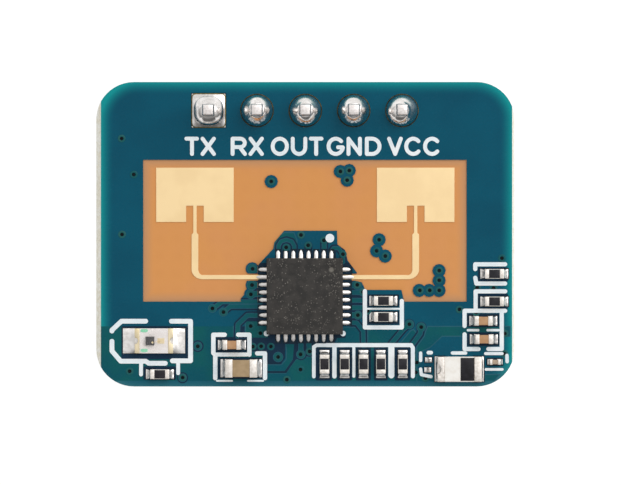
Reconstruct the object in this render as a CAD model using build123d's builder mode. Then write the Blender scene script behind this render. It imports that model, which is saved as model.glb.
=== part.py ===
from build123d import *
import os
from math import atan2, cos, degrees, radians, sin

os.makedirs("parts", exist_ok=True)

# A presence sensor on a small circuit board: two patch antennas in an unmasked window,
# a radar chip, a light sensor, and a row of header pins that stand out behind the board.
# Millimetres. The origin is the middle of the pin row, on the surface that the header's
# plastic stands on. +X runs along the row, +Y to the near edge, +Z out of the antenna face.
# Places on the board are given from the board's centre.

# Board
board_width = 22.0
board_height = 16.0
board_thickness = 1.2
corner_radius = 2.0
left_bevel = 0.26
right_bevel = 0.13
score_depth = 0.4
mask_height = 0.06
copper_height = 0.035
land_clearance = 0.05
plane_margin = 0.3
row_clearance = 0.3
ink_height = 0.012
ink_width = 0.24
fine_ink_width = 0.1

# Header
pin_count = 5
ground_pin = 4
pin_pitch = 2.54
pin_size = 0.64
pin_tip_size = 0.34
pin_taper = 0.5
pin_leg = 6.0
pin_tail = 3.0
housing_height = 2.54
housing_depth = 2.5
housing_notch = 0.4
row_margin = 1.5
hole_radius = 0.5
round_land_radius = 0.93
square_land_size = 1.76
joint_climb = 1.42
joint_shoulder = 0.7
joint_neck = 0.38

# Unmasked window, by its distances from the board's edges, and the dots of mask in it
window_left_margin = 2.48
window_right_margin = 2.52
window_top_margin = 4.09
window_bottom_margin = 4.46
dot_radius = 0.35
dot_sides = 12
dot_pitch = 0.52
corner_dot_margin = (1.45, 0.59)
channel_width = 0.37
channel_reach = 1.2

# Patch antennas, as high as a share of their window and notched to a share of their height
patch_width = 4.08
patch_share = 0.384
patch_margin = 0.41
transmit_margin = 0.68
receive_margin = 0.64
inset_width = 0.37
inset_share = 0.3
narrow_feed = 0.18
wide_feed = 0.36
chip_feed = 0.23
taper_drop = 0.56
taper_length = 0.1
feed_bend = 0.4

# Radar chip, leads counted from the middle of each side
chip_size = 4.0
chip_height = 0.85
chip_offset = -0.03
chip_margin = 4.745
chip_edge_break = 0.04
lead_count = 8
lead_pitch = 0.4
lead_width = 0.2
lead_length = 0.4
lead_height = 0.2
feed_lead = 2.5
chip_land_width = 0.22
chip_land_reach = 0.43
feed_land_reach = 0.6
toe_setback = 0.03
paddle_size = 2.65
mark_inset = 0.6
mark_radius = 0.16
mark_depth = 0.03

# Chip parts: length, width, height, terminal length, reach of the land past each end
resistor_size = (1.0, 0.5, 0.35, 0.22, 0.23)
capacitor_size = (1.0, 0.5, 0.5, 0.26, 0.23)
bulk_capacitor_size = (1.72, 0.94, 0.8, 0.41, 0.22)
small_capacitor_size = (0.6, 0.3, 0.3, 0.15, 0.09)
end_plating = 0.03
glaze_height = 0.04
glaze_side_gap = 0.03
cap_edge_break = 0.05
solder_film = 0.04
fillet_climb = 0.6
fillet_slope = 1.2
spare_land_size = (0.35, 0.26)

# Light sensor
sensor_size = (2.02, 1.31, 0.3, 0.26, 0.62)
sensor_cover_height = 0.45
sensor_cover_gap = 0.03
castellation_radius = 0.18
die_size = 0.45
die_height = 0.15
die_offset = -0.2

# Chip diode
diode_size = (2.33, 1.31, 0.9, 0.4, 0.12)
diode_left_end = 0.38
diode_notch_radius = 0.28
diode_notch_depth = 0.18
diode_band_width = 0.72
diode_band_height = 0.02
diode_edge_break = 0.05

# Levels
board_y = row_margin - board_height / 2
laminate_rear = housing_height + mask_height
laminate_front = housing_height + board_thickness - mask_height
mask_front = laminate_front + mask_height
land_front = laminate_front + copper_height
seat = land_front + solder_film
pin_top = housing_height + pin_tail

# Edges and places on the board
left_edge = -board_width / 2
right_edge = board_width / 2
bottom_edge = -board_height / 2
top_edge = board_height / 2
pin_places = [
    (pin_pitch * (number - (pin_count - 1) / 2), top_edge - row_margin) for number in range(pin_count)
]
window_left = left_edge + window_left_margin
window_right = right_edge - window_right_margin
window_top = top_edge - window_top_margin
window_bottom = bottom_edge + window_bottom_margin
chip_x = chip_offset
chip_y = bottom_edge + chip_margin
patch_height = patch_share * (window_top - window_bottom)
patch_bottom = window_top - patch_margin - patch_height
transmit_x = window_left + transmit_margin + patch_width / 2
receive_x = window_right - receive_margin - patch_width / 2
feed_y = chip_y + feed_lead * lead_pitch

# Chip parts stand in a row at the lower edge, beside the chip and up the right edge.
# Each place is a centre and a turn in degrees.
row_y = bottom_edge + 1.18
beside_chip_x = chip_x + chip_size / 2 + 2.13
bulk_capacitor_x = 0.306 * left_edge
resistor_places = [(right_edge - x, row_y, 90) for x in (9.99, 8.93, 7.94, 7.03, 5.88)] + [
    (beside_chip_x, chip_y - 0.24, 0),
    (beside_chip_x, chip_y - 1.09, 0),
    (right_edge - 1.07, bottom_edge + 5.92, 0),
    (right_edge - 1.07, bottom_edge + 4.47, 0),
    (left_edge + 3.36, bottom_edge + 0.65, 0),
]
capacitor_places = [
    (bulk_capacitor_x - 0.49, bottom_edge + 2.19, 0),
    (right_edge - 1.65, bottom_edge + 3.45, 0),
    (right_edge - 1.62, bottom_edge + 2.49, 0),
]
bulk_capacitor_place = (bulk_capacitor_x, bottom_edge + 0.96, 0)
small_capacitor_place = (right_edge - 1.03, bottom_edge + 1.29, 0)
sensor_place = (left_edge + 3.05, bottom_edge + 2.4, 0)
diode_place = (right_edge - 2.91, bottom_edge + 0.92, 0)
spare_lands = [(right_edge - 4.53, bottom_edge + 1.4), (right_edge - 4.57, bottom_edge + 0.87)]

capacitors = [(place, capacitor_size, f"capacitor_{n}") for n, place in enumerate(capacitor_places, 1)] + [
    (bulk_capacitor_place, bulk_capacitor_size, "bulk_capacitor"),
    (small_capacitor_place, small_capacitor_size, "small_capacitor"),
]
chip_parts = (
    (resistor_size, resistor_places),
    (capacitor_size, capacitor_places),
    (bulk_capacitor_size, [bulk_capacitor_place]),
    (small_capacitor_size, [small_capacitor_place]),
    (sensor_size, [sensor_place]),
    (diode_size, [diode_place]),
)

# A lead's place is its distance along its side of the chip and that side's turn. Two leads
# stand on the ends of the antenna feeds, and the rest on lands of their own.
lead_steps = [lead_pitch * (number - (lead_count - 1) / 2) for number in range(lead_count)]
feed_leads = [(feed_lead * lead_pitch, 90), (-feed_lead * lead_pitch, 270)]
plain_leads = [
    (step, turn) for turn in (0, 90, 180, 270) for step in lead_steps if (step, turn) not in feed_leads
]


def board_plane(x, y, z, turn=0):
    """A plane parallel to the board, with its origin given from the board's centre."""
    along = (cos(radians(turn)), sin(radians(turn)), 0)
    return Plane(origin=(x, board_y + y, z), x_dir=along, z_dir=(0, 0, 1))


def section_plane(x, y, z, turn=0):
    """An upright plane whose x runs along a part and whose y points up."""
    along = (cos(radians(turn)), sin(radians(turn)), 0)
    across = (sin(radians(turn)), -cos(radians(turn)), 0)
    return Plane(origin=(x, board_y + y, z), x_dir=along, z_dir=across)


def spots(places, turns=(0,)):
    """Where parts stand on the board, each turned as its place says."""
    return Locations(
        *[Location((x, y, 0), (0, 0, turn + more)) for x, y, turn in places for more in turns]
    )


def lead_spots(places):
    """The middle of the chip's edge at each lead, with y pointing outwards."""
    edge = chip_size / 2
    return Locations(
        *[
            Location(
                (
                    chip_x + step * cos(radians(turn)) - edge * sin(radians(turn)),
                    chip_y + step * sin(radians(turn)) + edge * cos(radians(turn)),
                    0,
                ),
                (0, 0, turn),
            )
            for step, turn in places
        ]
    )


def finish(part, name):
    """Label a finished piece and write it to a file of its own."""
    part.label = name
    export_step(part, f"parts/{name}.step")


def masked_face():
    """The board's face between its two scored edges."""
    RectangleRounded(board_width, board_height, corner_radius)
    with Locations(((left_bevel - right_bevel) / 2, 0)):
        Rectangle(board_width - left_bevel - right_bevel, board_height, mode=Mode.INTERSECT)


def end_lands(size, margin=0):
    """The two lands of a chip part, or the openings round them."""
    length, width, height, terminal, reach = size
    inner = length / 2 - terminal
    outer = length / 2 + reach
    with Locations((-(inner + outer) / 2, 0), ((inner + outer) / 2, 0)):
        Rectangle(outer - inner + 2 * margin, width + 2 * margin)


def lead_lands(margin=0):
    """The lands of the plain leads, or the openings round them."""
    with lead_spots(plain_leads):
        with Locations((0, (chip_land_reach - lead_length) / 2)):
            Rectangle(chip_land_width + 2 * margin, lead_length + chip_land_reach + 2 * margin)


def printed_line(start, end, width):
    """A straight printed line that runs half its width past both of its ends."""
    run = Vector(*end) - Vector(*start)
    with Locations((Vector(*start) + Vector(*end)) / 2):
        Rectangle(run.length + width, width, rotation=degrees(atan2(run.Y, run.X)))


# Board core, its left and right edges scored from both faces and then snapped off
with BuildPart() as laminate:
    with BuildSketch(board_plane(0, 0, laminate_rear)):
        RectangleRounded(board_width, board_height, corner_radius)
        with Locations(*pin_places):
            Circle(hole_radius, mode=Mode.SUBTRACT)
    extrude(amount=laminate_front - laminate_rear)
    with BuildSketch(section_plane(0, 0, 0)):
        for edge, bevel in ((left_edge, left_bevel), (right_edge, -right_bevel)):
            for face, depth in ((laminate_front, -score_depth), (laminate_rear, score_depth)):
                Polygon((edge, face), (edge + bevel, face), (edge, face + depth), align=None)
    extrude(amount=board_height, both=True, mode=Mode.SUBTRACT)
finish(laminate.part, "laminate")

# Ground plane behind the antennas. It ends below the header row but for a neck that runs
# up round the hole of the ground pin.
row_strip = row_margin + round_land_radius + row_clearance
ground_x, ground_y = pin_places[ground_pin - 1]
with BuildPart() as ground_plane:
    with BuildSketch(board_plane(0, 0, laminate_rear)):
        masked_face()
        offset(amount=-plane_margin)
        with Locations((0, top_edge - row_strip / 2)):
            Rectangle(board_width, row_strip, mode=Mode.SUBTRACT)
        with Locations((ground_x, ground_y - row_clearance / 2)):
            Rectangle(2 * round_land_radius, 2 * round_land_radius + row_clearance)
        with Locations((ground_x, ground_y)):
            Circle(hole_radius, mode=Mode.SUBTRACT)
    extrude(amount=-copper_height)
finish(ground_plane.part, "ground_plane")

# Rear mask, lying over the ground plane, with one long opening under the header
with BuildPart() as rear_mask:
    with BuildSketch(board_plane(0, 0, laminate_rear)):
        masked_face()
        with Locations((0, top_edge - row_margin)):
            Rectangle(
                (pin_count - 1) * pin_pitch + 2 * round_land_radius, 2 * round_land_radius, mode=Mode.SUBTRACT
            )
    extrude(amount=-mask_height)
    add(ground_plane.part, mode=Mode.SUBTRACT)
finish(rear_mask.part, "rear_mask")

# Lands of the header's holes, the first one square
with BuildPart() as header_lands:
    with BuildSketch(board_plane(0, 0, laminate_front)):
        with Locations(pin_places[0]):
            Rectangle(square_land_size, square_land_size)
        with Locations(*pin_places[1:]):
            Circle(round_land_radius)
        with Locations(*pin_places):
            Circle(hole_radius, mode=Mode.SUBTRACT)
    extrude(amount=copper_height)
finish(header_lands.part, "header_lands")

# Patch antennas. Each feed enters its patch between two inset notches, widens below it,
# bends towards the chip in a narrowing quarter turn and ends under the chip's lead.
inset_depth = inset_share * patch_height
taper_top = patch_bottom - taper_drop
notch_x = (narrow_feed + inset_width) / 2
bend_y = feed_y + feed_bend
for name, side, patch_x in (("transmit_antenna", -1, transmit_x), ("receive_antenna", 1, receive_x)):
    bend_x = -side * feed_bend
    feed_end = side * (chip_size / 2 - lead_length) + chip_x - patch_x
    with BuildPart() as antenna:
        with BuildSketch(board_plane(patch_x, 0, laminate_front)):
            with Locations((0, patch_bottom + patch_height / 2)):
                Rectangle(patch_width, patch_height)
            with Locations(*[(x, patch_bottom + inset_depth / 2) for x in (-notch_x, notch_x)]):
                Rectangle(inset_width, inset_depth, mode=Mode.SUBTRACT)
            Polygon(
                (-narrow_feed / 2, patch_bottom),
                (narrow_feed / 2, patch_bottom),
                (narrow_feed / 2, taper_top),
                (wide_feed / 2, taper_top - taper_length),
                (wide_feed / 2, bend_y),
                (-wide_feed / 2, bend_y),
                (-wide_feed / 2, taper_top - taper_length),
                (-narrow_feed / 2, taper_top),
                align=None,
            )
            with BuildLine():
                quarter = {"start_angle": 270 if side > 0 else 180, "arc_size": 90}
                outer = EllipticalCenterArc(
                    (bend_x, bend_y), feed_bend + wide_feed / 2, feed_bend + chip_feed / 2, **quarter
                )
                inner = EllipticalCenterArc(
                    (bend_x, bend_y), feed_bend - wide_feed / 2, feed_bend - chip_feed / 2, **quarter
                )
                Line(outer @ 0, inner @ 0)
                Line(outer @ 1, inner @ 1)
            make_face()
            with Locations(((bend_x + feed_end) / 2, feed_y)):
                Rectangle(abs(feed_end - bend_x), chip_feed)
        extrude(amount=copper_height)
    finish(antenna.part, name)

# Tinned lands of the chip parts, and two spare ones
with BuildPart() as component_lands:
    with BuildSketch(board_plane(0, 0, laminate_front)):
        for size, places in chip_parts:
            with spots(places):
                end_lands(size)
        with Locations(*spare_lands):
            Rectangle(*spare_land_size)
    extrude(amount=copper_height)
finish(component_lands.part, "component_lands")

# Lands of the chip, with a square one for its ground paddle
with BuildPart() as chip_lands:
    with BuildSketch(board_plane(0, 0, laminate_front)):
        lead_lands()
        with Locations((chip_x, chip_y)):
            Rectangle(paddle_size, paddle_size)
    extrude(amount=copper_height)
finish(chip_lands.part, "chip_lands")

# Front mask. An apron of it stands round the chip inside the window, with rounded lobes
# over the ground holes beside the feed, and more holes have a many-sided dot of mask each.
# The dots by the receiving feed are placed from its antenna's middle and by their share of
# the way from the feed up to the patch.
apron = (
    (-3.36, -1.2), (-3.36, -0.12), (-3.01, 0.27), (-2.59, 0.6), (-2.59, 1.3),
    (-2.42, 1.67), (-1.65, 2.5), (-1.59, 2.84), (-1.08, 3.44), (1.69, 3.44),
    (1.72, 2.72), (2.12, 2.43), (2.26, 1.87), (2.74, 1.24), (2.59, 0.83),
    (3.0, 0.73), (3.19, 0.33), (5.08, 0.33), (5.22, -0.28), (5.22, -1.2),
)
apron_lobes = ((-2.76, 1.44), (-2.76, 0.59), (-2.84, 0.11))
feed_dots = ((1.92, 0.68), (2.05, 0.477), (1.6, 0.383))
top_dots = (
    (transmit_x + 4.01, 1.14),
    (receive_x - 3.96, 0.61),
    (receive_x - 3.49, 0.56),
    (receive_x - 3.6, 1.07),
)
corner_x = window_right - corner_dot_margin[0]
corner_y = window_bottom + corner_dot_margin[1]
mask_dots = (
    [(chip_x + x, chip_y + y) for x, y in apron_lobes]
    + [(receive_x - x, feed_y + share * (patch_bottom - feed_y)) for x, share in feed_dots]
    + [(x, window_top - drop) for x, drop in top_dots]
    + [(corner_x, corner_y + dot_pitch * step) for step in (0, 1, 2)]
    + [(corner_x - dot_pitch * step, corner_y) for step in (1, 2)]
)
with BuildPart() as front_mask:
    with BuildSketch(board_plane(0, 0, laminate_front)):
        masked_face()
        with Locations(((window_left + window_right) / 2, (window_top + window_bottom) / 2)):
            Rectangle(window_right - window_left, window_top - window_bottom, mode=Mode.SUBTRACT)
        Polygon(*[(chip_x + x, chip_y + y) for x, y in apron], align=None)
        with Locations(*mask_dots):
            RegularPolygon(dot_radius, dot_sides)
        with Locations(pin_places[0]):
            Rectangle(*[square_land_size + 2 * land_clearance] * 2, mode=Mode.SUBTRACT)
        with Locations(*pin_places[1:]):
            Circle(round_land_radius + land_clearance, mode=Mode.SUBTRACT)
        with lead_spots(feed_leads):
            with Locations((0, (channel_reach - lead_length) / 2)):
                Rectangle(channel_width, channel_reach + lead_length, mode=Mode.SUBTRACT)
    extrude(amount=mask_height)
    with BuildSketch(board_plane(0, 0, laminate_front)):
        for size, places in chip_parts:
            with spots(places):
                end_lands(size, land_clearance)
        lead_lands(land_clearance)
        with Locations(*spare_lands):
            Rectangle(*[side + 2 * land_clearance for side in spare_land_size])
        with Locations((chip_x, chip_y)):
            Rectangle(*[paddle_size + 2 * land_clearance] * 2)
    extrude(amount=mask_height, mode=Mode.SUBTRACT)
finish(front_mask.part, "front_mask")

# Printed frames round the parts, each drawn from its part's own centre
sensor_frame = (
    ((-0.39, 1.03), (-1.71, 1.03), (-2.21, 0.56), (-2.21, 0.42)),
    ((-2.21, 0.06), (-2.21, -0.53), (-1.75, -1.07), (-0.43, -1.07), (-0.28, -1.18), (0.72, -1.18)),
    ((0.84, -1.05), (1.92, -1.05), (1.92, 1.03), (0.87, 1.03)),
    ((-0.68, -1.18), (-0.68, -1.85)),
    ((1.27, -1.18), (1.27, -1.85)),
)
capacitor_frame = (
    ((-0.83, 1.76), (-1.46, 1.76), (-1.46, 0.8), (-1.36, 0.7), (-1.36, -0.51)),
    ((-0.19, 1.76), (0.43, 1.76), (0.43, 0.72), (-1.36, 0.72)),
    ((0.83, 0.72), (1.25, 0.72), (1.25, -0.51)),
)
row_left, row_right = resistor_places[0][0] - 0.54, resistor_places[4][0] + 0.53
row_frame = (
    ((row_left, -0.75), (row_left, 0.98), (row_right, 0.98), (row_right, -0.75)),
    *[
        ((x, 0.98), (x, -0.75))
        for x in [(resistor_places[n][0] + resistor_places[n + 1][0]) / 2 for n in (0, 1, 3)]
    ],
)
beside_chip_frame = (((-0.97, 0.36), (-0.97, -1.4), (0.97, -1.4), (0.97, -0.19)),)
right_column_frame = (
    ((0.68, 0.5), (-1.0, 0.5), (-1.0, 0.14)),
    ((-1.02, -0.2), (-0.94, -0.51), (0.68, -0.51)),
    ((0.68, -0.92), (-0.98, -0.92), (-0.98, -1.94)),
    ((0.68, -1.94), (-1.56, -1.94), (-1.56, -2.8)),
    ((-1.56, -3.12), (-1.56, -3.93)),
    ((0.39, -1.94), (0.39, -3.93)),
)
diode_frame = (
    ((-2.03, 0.89), (-2.03, 0.42)),
    ((-1.62, 0.86), (-1.54, 0.86)),
    ((-2.04, 0.02), (-1.99, -0.37), (-1.52, -0.42)),
    ((-0.4, 0.84), (0.35, 0.84)),
    ((1.47, 0.77), (2.23, 0.77)),
    ((1.47, -0.05), (2.23, -0.05)),
    ((2.48, 0.72), (2.48, 0.32)),
)
fine_lines = (
    (bulk_capacitor_place, ((-1.32, -0.58), (-0.43, -0.58))),
    (bulk_capacitor_place, ((0.31, -0.58), (1.2, -0.58))),
    (resistor_places[5], ((-0.73, -0.42), (0.84, -0.42))),
    (resistor_places[7], ((-1.45, -2.96), (-0.84, -2.96))),
    (resistor_places[7], ((-0.3, -2.96), (0.2, -2.96))),
    (resistor_places[7], ((-1.45, -3.93), (-0.85, -3.93))),
    (resistor_places[7], ((-0.29, -3.93), (0.3, -3.93))),
)
frames = (
    (sensor_place, sensor_frame),
    (bulk_capacitor_place, capacitor_frame),
    ((0, row_y, 0), row_frame),
    (resistor_places[5], beside_chip_frame),
    (resistor_places[7], right_column_frame),
    (diode_place, diode_frame),
)
with BuildPart() as legend:
    for (x, y, turn), lines in frames:
        with BuildSketch(board_plane(x, y, mask_front)):
            for line in lines:
                for start, end in zip(line, line[1:]):
                    printed_line(start, end, ink_width)
        extrude(amount=ink_height)
    for (x, y, turn), (start, end) in fine_lines:
        with BuildSketch(board_plane(x, y, mask_front)):
            printed_line(start, end, fine_ink_width)
        extrude(amount=ink_height)
finish(legend.part, "legend")

# Header: a moulded strip of eight-sided cells, and square pins pressed through it
cell_side = pin_pitch / 2
cell_face = housing_depth / 2
with BuildPart() as header_housing:
    with BuildSketch(board_plane(0, 0, 0)):
        with Locations(*pin_places):
            Polygon(
                (-cell_side, housing_notch - cell_face),
                (housing_notch - cell_side, -cell_face),
                (cell_side - housing_notch, -cell_face),
                (cell_side, housing_notch - cell_face),
                (cell_side, cell_face - housing_notch),
                (cell_side - housing_notch, cell_face),
                (housing_notch - cell_side, cell_face),
                (-cell_side, cell_face - housing_notch),
            )
            Rectangle(pin_size, pin_size, mode=Mode.SUBTRACT)
    extrude(amount=housing_height)
finish(header_housing.part, "header_housing")

# Each pin is one square wire, both its ends pressed to a blunt taper
pin_taper_angle = degrees(atan2(pin_size - pin_tip_size, 2 * pin_taper))
pins = []
for number, place in enumerate(pin_places, 1):
    with BuildPart() as header_pin:
        with BuildSketch(board_plane(*place, pin_taper - pin_leg)):
            Rectangle(pin_size, pin_size)
        extrude(amount=pin_top + pin_leg - 2 * pin_taper)
        for shoulder, way in ((pin_taper - pin_leg, -1), (pin_top - pin_taper, 1)):
            with BuildSketch(board_plane(*place, shoulder)):
                Rectangle(pin_size, pin_size)
            extrude(amount=way * pin_taper, taper=pin_taper_angle)
    pins.append(header_pin.part)
    finish(header_pin.part, f"header_pin_{number}")

# Each solder joint fills its hole round the pin, spreads over the land and mounds up
# in a bell to the taper of the pin's tip
for number, place in enumerate(pin_places, 1):
    foot = square_land_size / 2 if number == 1 else round_land_radius
    with BuildPart() as solder_joint:
        with BuildSketch(section_plane(*place, 0)):
            with BuildLine():
                rear = laminate_rear - copper_height
                crown = land_front + joint_climb
                Polyline(
                    (foot, land_front),
                    (joint_shoulder, land_front + 0.65 * joint_climb),
                    (joint_neck, crown),
                    (0, crown),
                    (0, rear),
                    (hole_radius, rear),
                    (hole_radius, land_front),
                    close=True,
                )
            make_face()
        revolve(axis=Axis((place[0], board_y + place[1], 0), (0, 0, 1)))
        add(pins[number - 1], mode=Mode.SUBTRACT)
    finish(solder_joint.part, f"solder_joint_{number}")

# Radar chip: leads and a ground paddle in the underside of one moulded block
with BuildPart() as chip_leads:
    with BuildSketch(board_plane(0, 0, seat)):
        with lead_spots(plain_leads + feed_leads):
            with Locations((0, -lead_length / 2)):
                Rectangle(lead_width, lead_length)
    extrude(amount=lead_height)
finish(chip_leads.part, "chip_leads")

with BuildPart() as chip_paddle:
    with BuildSketch(board_plane(chip_x, chip_y, seat)):
        Rectangle(paddle_size, paddle_size)
    extrude(amount=lead_height)
finish(chip_paddle.part, "chip_paddle")

with BuildPart() as chip_body:
    with BuildSketch(board_plane(chip_x, chip_y, seat)):
        Rectangle(chip_size, chip_size)
    extrude(amount=chip_height)
    chamfer(chip_body.faces().sort_by(Axis.Z)[-1].edges(), chip_edge_break)
    with BuildSketch(board_plane(chip_x, chip_y, seat + chip_height)):
        with Locations((chip_size / 2 - mark_inset, chip_size / 2 - mark_inset)):
            RegularPolygon(mark_radius, dot_sides)
    extrude(amount=-mark_depth, mode=Mode.SUBTRACT)
    add(chip_leads.part, mode=Mode.SUBTRACT)
    add(chip_paddle.part, mode=Mode.SUBTRACT)
finish(chip_body.part, "chip_body")

# Solder under each lead and in a toe up its outer end, and under the paddle
toes = []
for leads, land_reach in ((plain_leads, chip_land_reach), (feed_leads, feed_land_reach)):
    toe_end = land_reach - toe_setback
    with BuildPart() as toe:
        with BuildSketch(Plane.YZ):
            Polygon(
                (-lead_length, 0),
                (toe_end, 0),
                (toe_end, solder_film),
                (0, solder_film + lead_height),
                (0, solder_film),
                (-lead_length, solder_film),
                align=None,
            )
        extrude(amount=lead_width / 2, both=True)
    toes.append((toe.part, leads))

with BuildPart(board_plane(0, 0, land_front)) as chip_solder:
    for toe_part, leads in toes:
        with lead_spots(leads):
            add(toe_part)
    with BuildSketch(board_plane(chip_x, chip_y, land_front)):
        Rectangle(paddle_size, paddle_size)
    extrude(amount=solder_film)
finish(chip_solder.part, "chip_solder")

# Chip resistors: a ceramic block, a glaze on its top and a wrap of metal at each end
length, width, height, terminal, reach = resistor_size
for number, (x, y, turn) in enumerate(resistor_places, 1):
    with BuildPart() as resistor:
        with BuildSketch(board_plane(x, y, seat + end_plating, turn)):
            Rectangle(length - 2 * end_plating, width)
        extrude(amount=height - 2 * end_plating)
    finish(resistor.part, f"resistor_{number}")

with BuildPart() as resistor_glazes:
    with BuildSketch(board_plane(0, 0, seat + height - end_plating)):
        with spots(resistor_places):
            Rectangle(length - 2 * terminal, width - 2 * glaze_side_gap)
    extrude(amount=glaze_height)
finish(resistor_glazes.part, "resistor_glazes")

with BuildPart() as wrap:
    with BuildSketch(Plane.XZ):
        with Locations(((length - terminal) / 2, height / 2)):
            Rectangle(terminal, height)
        with Locations((0, height / 2)):
            Rectangle(length - 2 * end_plating, height - 2 * end_plating, mode=Mode.SUBTRACT)
    extrude(amount=width / 2, both=True)

with BuildPart(board_plane(0, 0, seat)) as resistor_terminals:
    with spots(resistor_places, (0, 180)):
        add(wrap.part)
finish(resistor_terminals.part, "resistor_terminals")

# Ceramic capacitors: a block whose two ends stand in five-sided caps
capacitor_blocks = []
for (x, y, turn), (length, width, height, terminal, reach), name in capacitors:
    with BuildPart() as capacitor:
        with BuildSketch(board_plane(x, y, seat + end_plating, turn)):
            Rectangle(length - 2 * end_plating, width - 2 * end_plating)
        extrude(amount=height - 2 * end_plating)
    capacitor_blocks.append(capacitor.part)
    finish(capacitor.part, name)

with BuildPart() as capacitor_terminals:
    for (x, y, turn), (length, width, height, terminal, reach), name in capacitors:
        for side in (-1, 1):
            with BuildSketch(board_plane(x, y, seat, turn)):
                with Locations((side * (length - terminal) / 2, 0)):
                    Rectangle(terminal, width)
            extrude(amount=height)
            end_face = capacitor_terminals.faces(Select.LAST).sort_by(Axis.X)[0 if side < 0 else -1]
            chamfer(end_face.edges(), min(cap_edge_break, height / 8))
    add(capacitor_blocks, mode=Mode.SUBTRACT)
finish(capacitor_terminals.part, "capacitor_terminals")

# Light sensor: a carrier with plated half-round ends, a die and a clear cover
x, y, turn = sensor_place
length, width, height, terminal, reach = sensor_size
with BuildPart() as light_sensor_base:
    with BuildSketch(board_plane(x, y, seat + end_plating)):
        Rectangle(length - 2 * end_plating, width)
        with Locations((-length / 2, 0), (length / 2, 0)):
            RegularPolygon(castellation_radius + end_plating, dot_sides, mode=Mode.SUBTRACT)
    extrude(amount=height - 2 * end_plating)
finish(light_sensor_base.part, "light_sensor_base")

with BuildPart() as light_sensor_terminals:
    with BuildSketch(board_plane(x, y, seat)):
        with Locations(((terminal - length) / 2, 0), ((length - terminal) / 2, 0)):
            Rectangle(terminal, width)
        with Locations((-length / 2, 0), (length / 2, 0)):
            RegularPolygon(castellation_radius, dot_sides, mode=Mode.SUBTRACT)
    extrude(amount=height)
    add(light_sensor_base.part, mode=Mode.SUBTRACT)
finish(light_sensor_terminals.part, "light_sensor_terminals")

with BuildPart() as light_sensor_die:
    with BuildSketch(board_plane(x, y, seat + height - end_plating)):
        with Locations((die_offset, 0)):
            Rectangle(die_size, die_size)
    extrude(amount=die_height)
finish(light_sensor_die.part, "light_sensor_die")

with BuildPart() as light_sensor_cover:
    with BuildSketch(board_plane(x, y, seat + height - end_plating)):
        Rectangle(length - 2 * terminal, width - 2 * sensor_cover_gap)
    extrude(amount=sensor_cover_height)
    add(light_sensor_die.part, mode=Mode.SUBTRACT)
finish(light_sensor_cover.part, "light_sensor_cover")

# Chip diode: a moulded block between two metal ends, with a band at its cathode
x, y, turn = diode_place
length, width, height, right_end, reach = diode_size
block_length = length - diode_left_end - right_end
block_x = x + (diode_left_end - right_end) / 2
with BuildPart() as diode_body:
    with BuildSketch(board_plane(block_x, y, seat)):
        Rectangle(block_length, width)
    extrude(amount=height)
    long_edges = diode_body.faces().sort_by(Axis.Z)[-1].edges().filter_by(Axis.X)
    chamfer(long_edges, diode_edge_break)
finish(diode_body.part, "diode_body")

with BuildPart() as diode_band:
    with BuildSketch(board_plane(block_x, y, seat + height)):
        with Locations(((block_length - diode_band_width) / 2, 0)):
            Rectangle(diode_band_width, width - 2 * diode_edge_break)
    extrude(amount=diode_band_height)
finish(diode_band.part, "diode_band")

with BuildPart() as diode_terminals:
    with BuildSketch(board_plane(x, y, seat)):
        with Locations(((diode_left_end - length) / 2, 0)):
            Rectangle(diode_left_end, width)
        with Locations(((length - right_end) / 2, 0)):
            Rectangle(right_end, width)
        with Locations((diode_notch_depth - diode_notch_radius - length / 2, 0)):
            Circle(diode_notch_radius, mode=Mode.SUBTRACT)
    extrude(amount=height)
finish(diode_terminals.part, "diode_terminals")

# Solder under each end of the chip parts, drawn up the end in a hollow curve
fillets = []
for (length, width, height, terminal, reach), places in chip_parts:
    climb = min(fillet_climb * height, fillet_slope * reach)
    with BuildPart() as fillet_piece:
        with BuildSketch(Plane.XZ):
            Polygon(
                (length / 2 - terminal, 0),
                (length / 2 + reach, 0),
                (length / 2 + reach, solder_film),
                (length / 2 + 0.3 * reach, solder_film + 0.3 * climb),
                (length / 2, solder_film + climb),
                (length / 2, solder_film),
                (length / 2 - terminal, solder_film),
                align=None,
            )
        extrude(amount=width / 2, both=True)
    fillets.append((fillet_piece.part, places))

with BuildPart(board_plane(0, 0, land_front)) as solder_fillets:
    for fillet_part, places in fillets:
        with spots(places, (0, 180)):
            add(fillet_part)
finish(solder_fillets.part, "solder_fillets")
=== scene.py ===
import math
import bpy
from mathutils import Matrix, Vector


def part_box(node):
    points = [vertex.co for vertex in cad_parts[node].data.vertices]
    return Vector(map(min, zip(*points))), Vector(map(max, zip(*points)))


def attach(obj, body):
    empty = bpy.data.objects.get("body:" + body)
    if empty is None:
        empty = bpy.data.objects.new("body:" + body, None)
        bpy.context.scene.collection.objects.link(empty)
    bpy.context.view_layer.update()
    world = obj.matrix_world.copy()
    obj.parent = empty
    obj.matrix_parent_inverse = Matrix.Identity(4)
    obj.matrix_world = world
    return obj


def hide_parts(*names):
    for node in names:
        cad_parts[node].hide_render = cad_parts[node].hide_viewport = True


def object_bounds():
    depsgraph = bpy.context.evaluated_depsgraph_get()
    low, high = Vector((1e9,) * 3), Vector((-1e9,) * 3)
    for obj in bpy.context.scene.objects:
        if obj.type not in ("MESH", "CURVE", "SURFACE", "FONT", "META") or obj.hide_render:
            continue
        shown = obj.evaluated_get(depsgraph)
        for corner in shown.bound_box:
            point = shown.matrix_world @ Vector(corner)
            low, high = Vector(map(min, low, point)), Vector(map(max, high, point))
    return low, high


bl_info = {
    "name": "Radar Sensor Module",
    "version": (1, 0, 0),
    "blender": (4, 5, 0),
    "location": "3D View > Sidebar > Radar Module",
    "description": (
        "Dresses a small circuit board with patch antennas, a radar chip and a pin header"
    ),
    "category": "Object",
}

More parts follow.
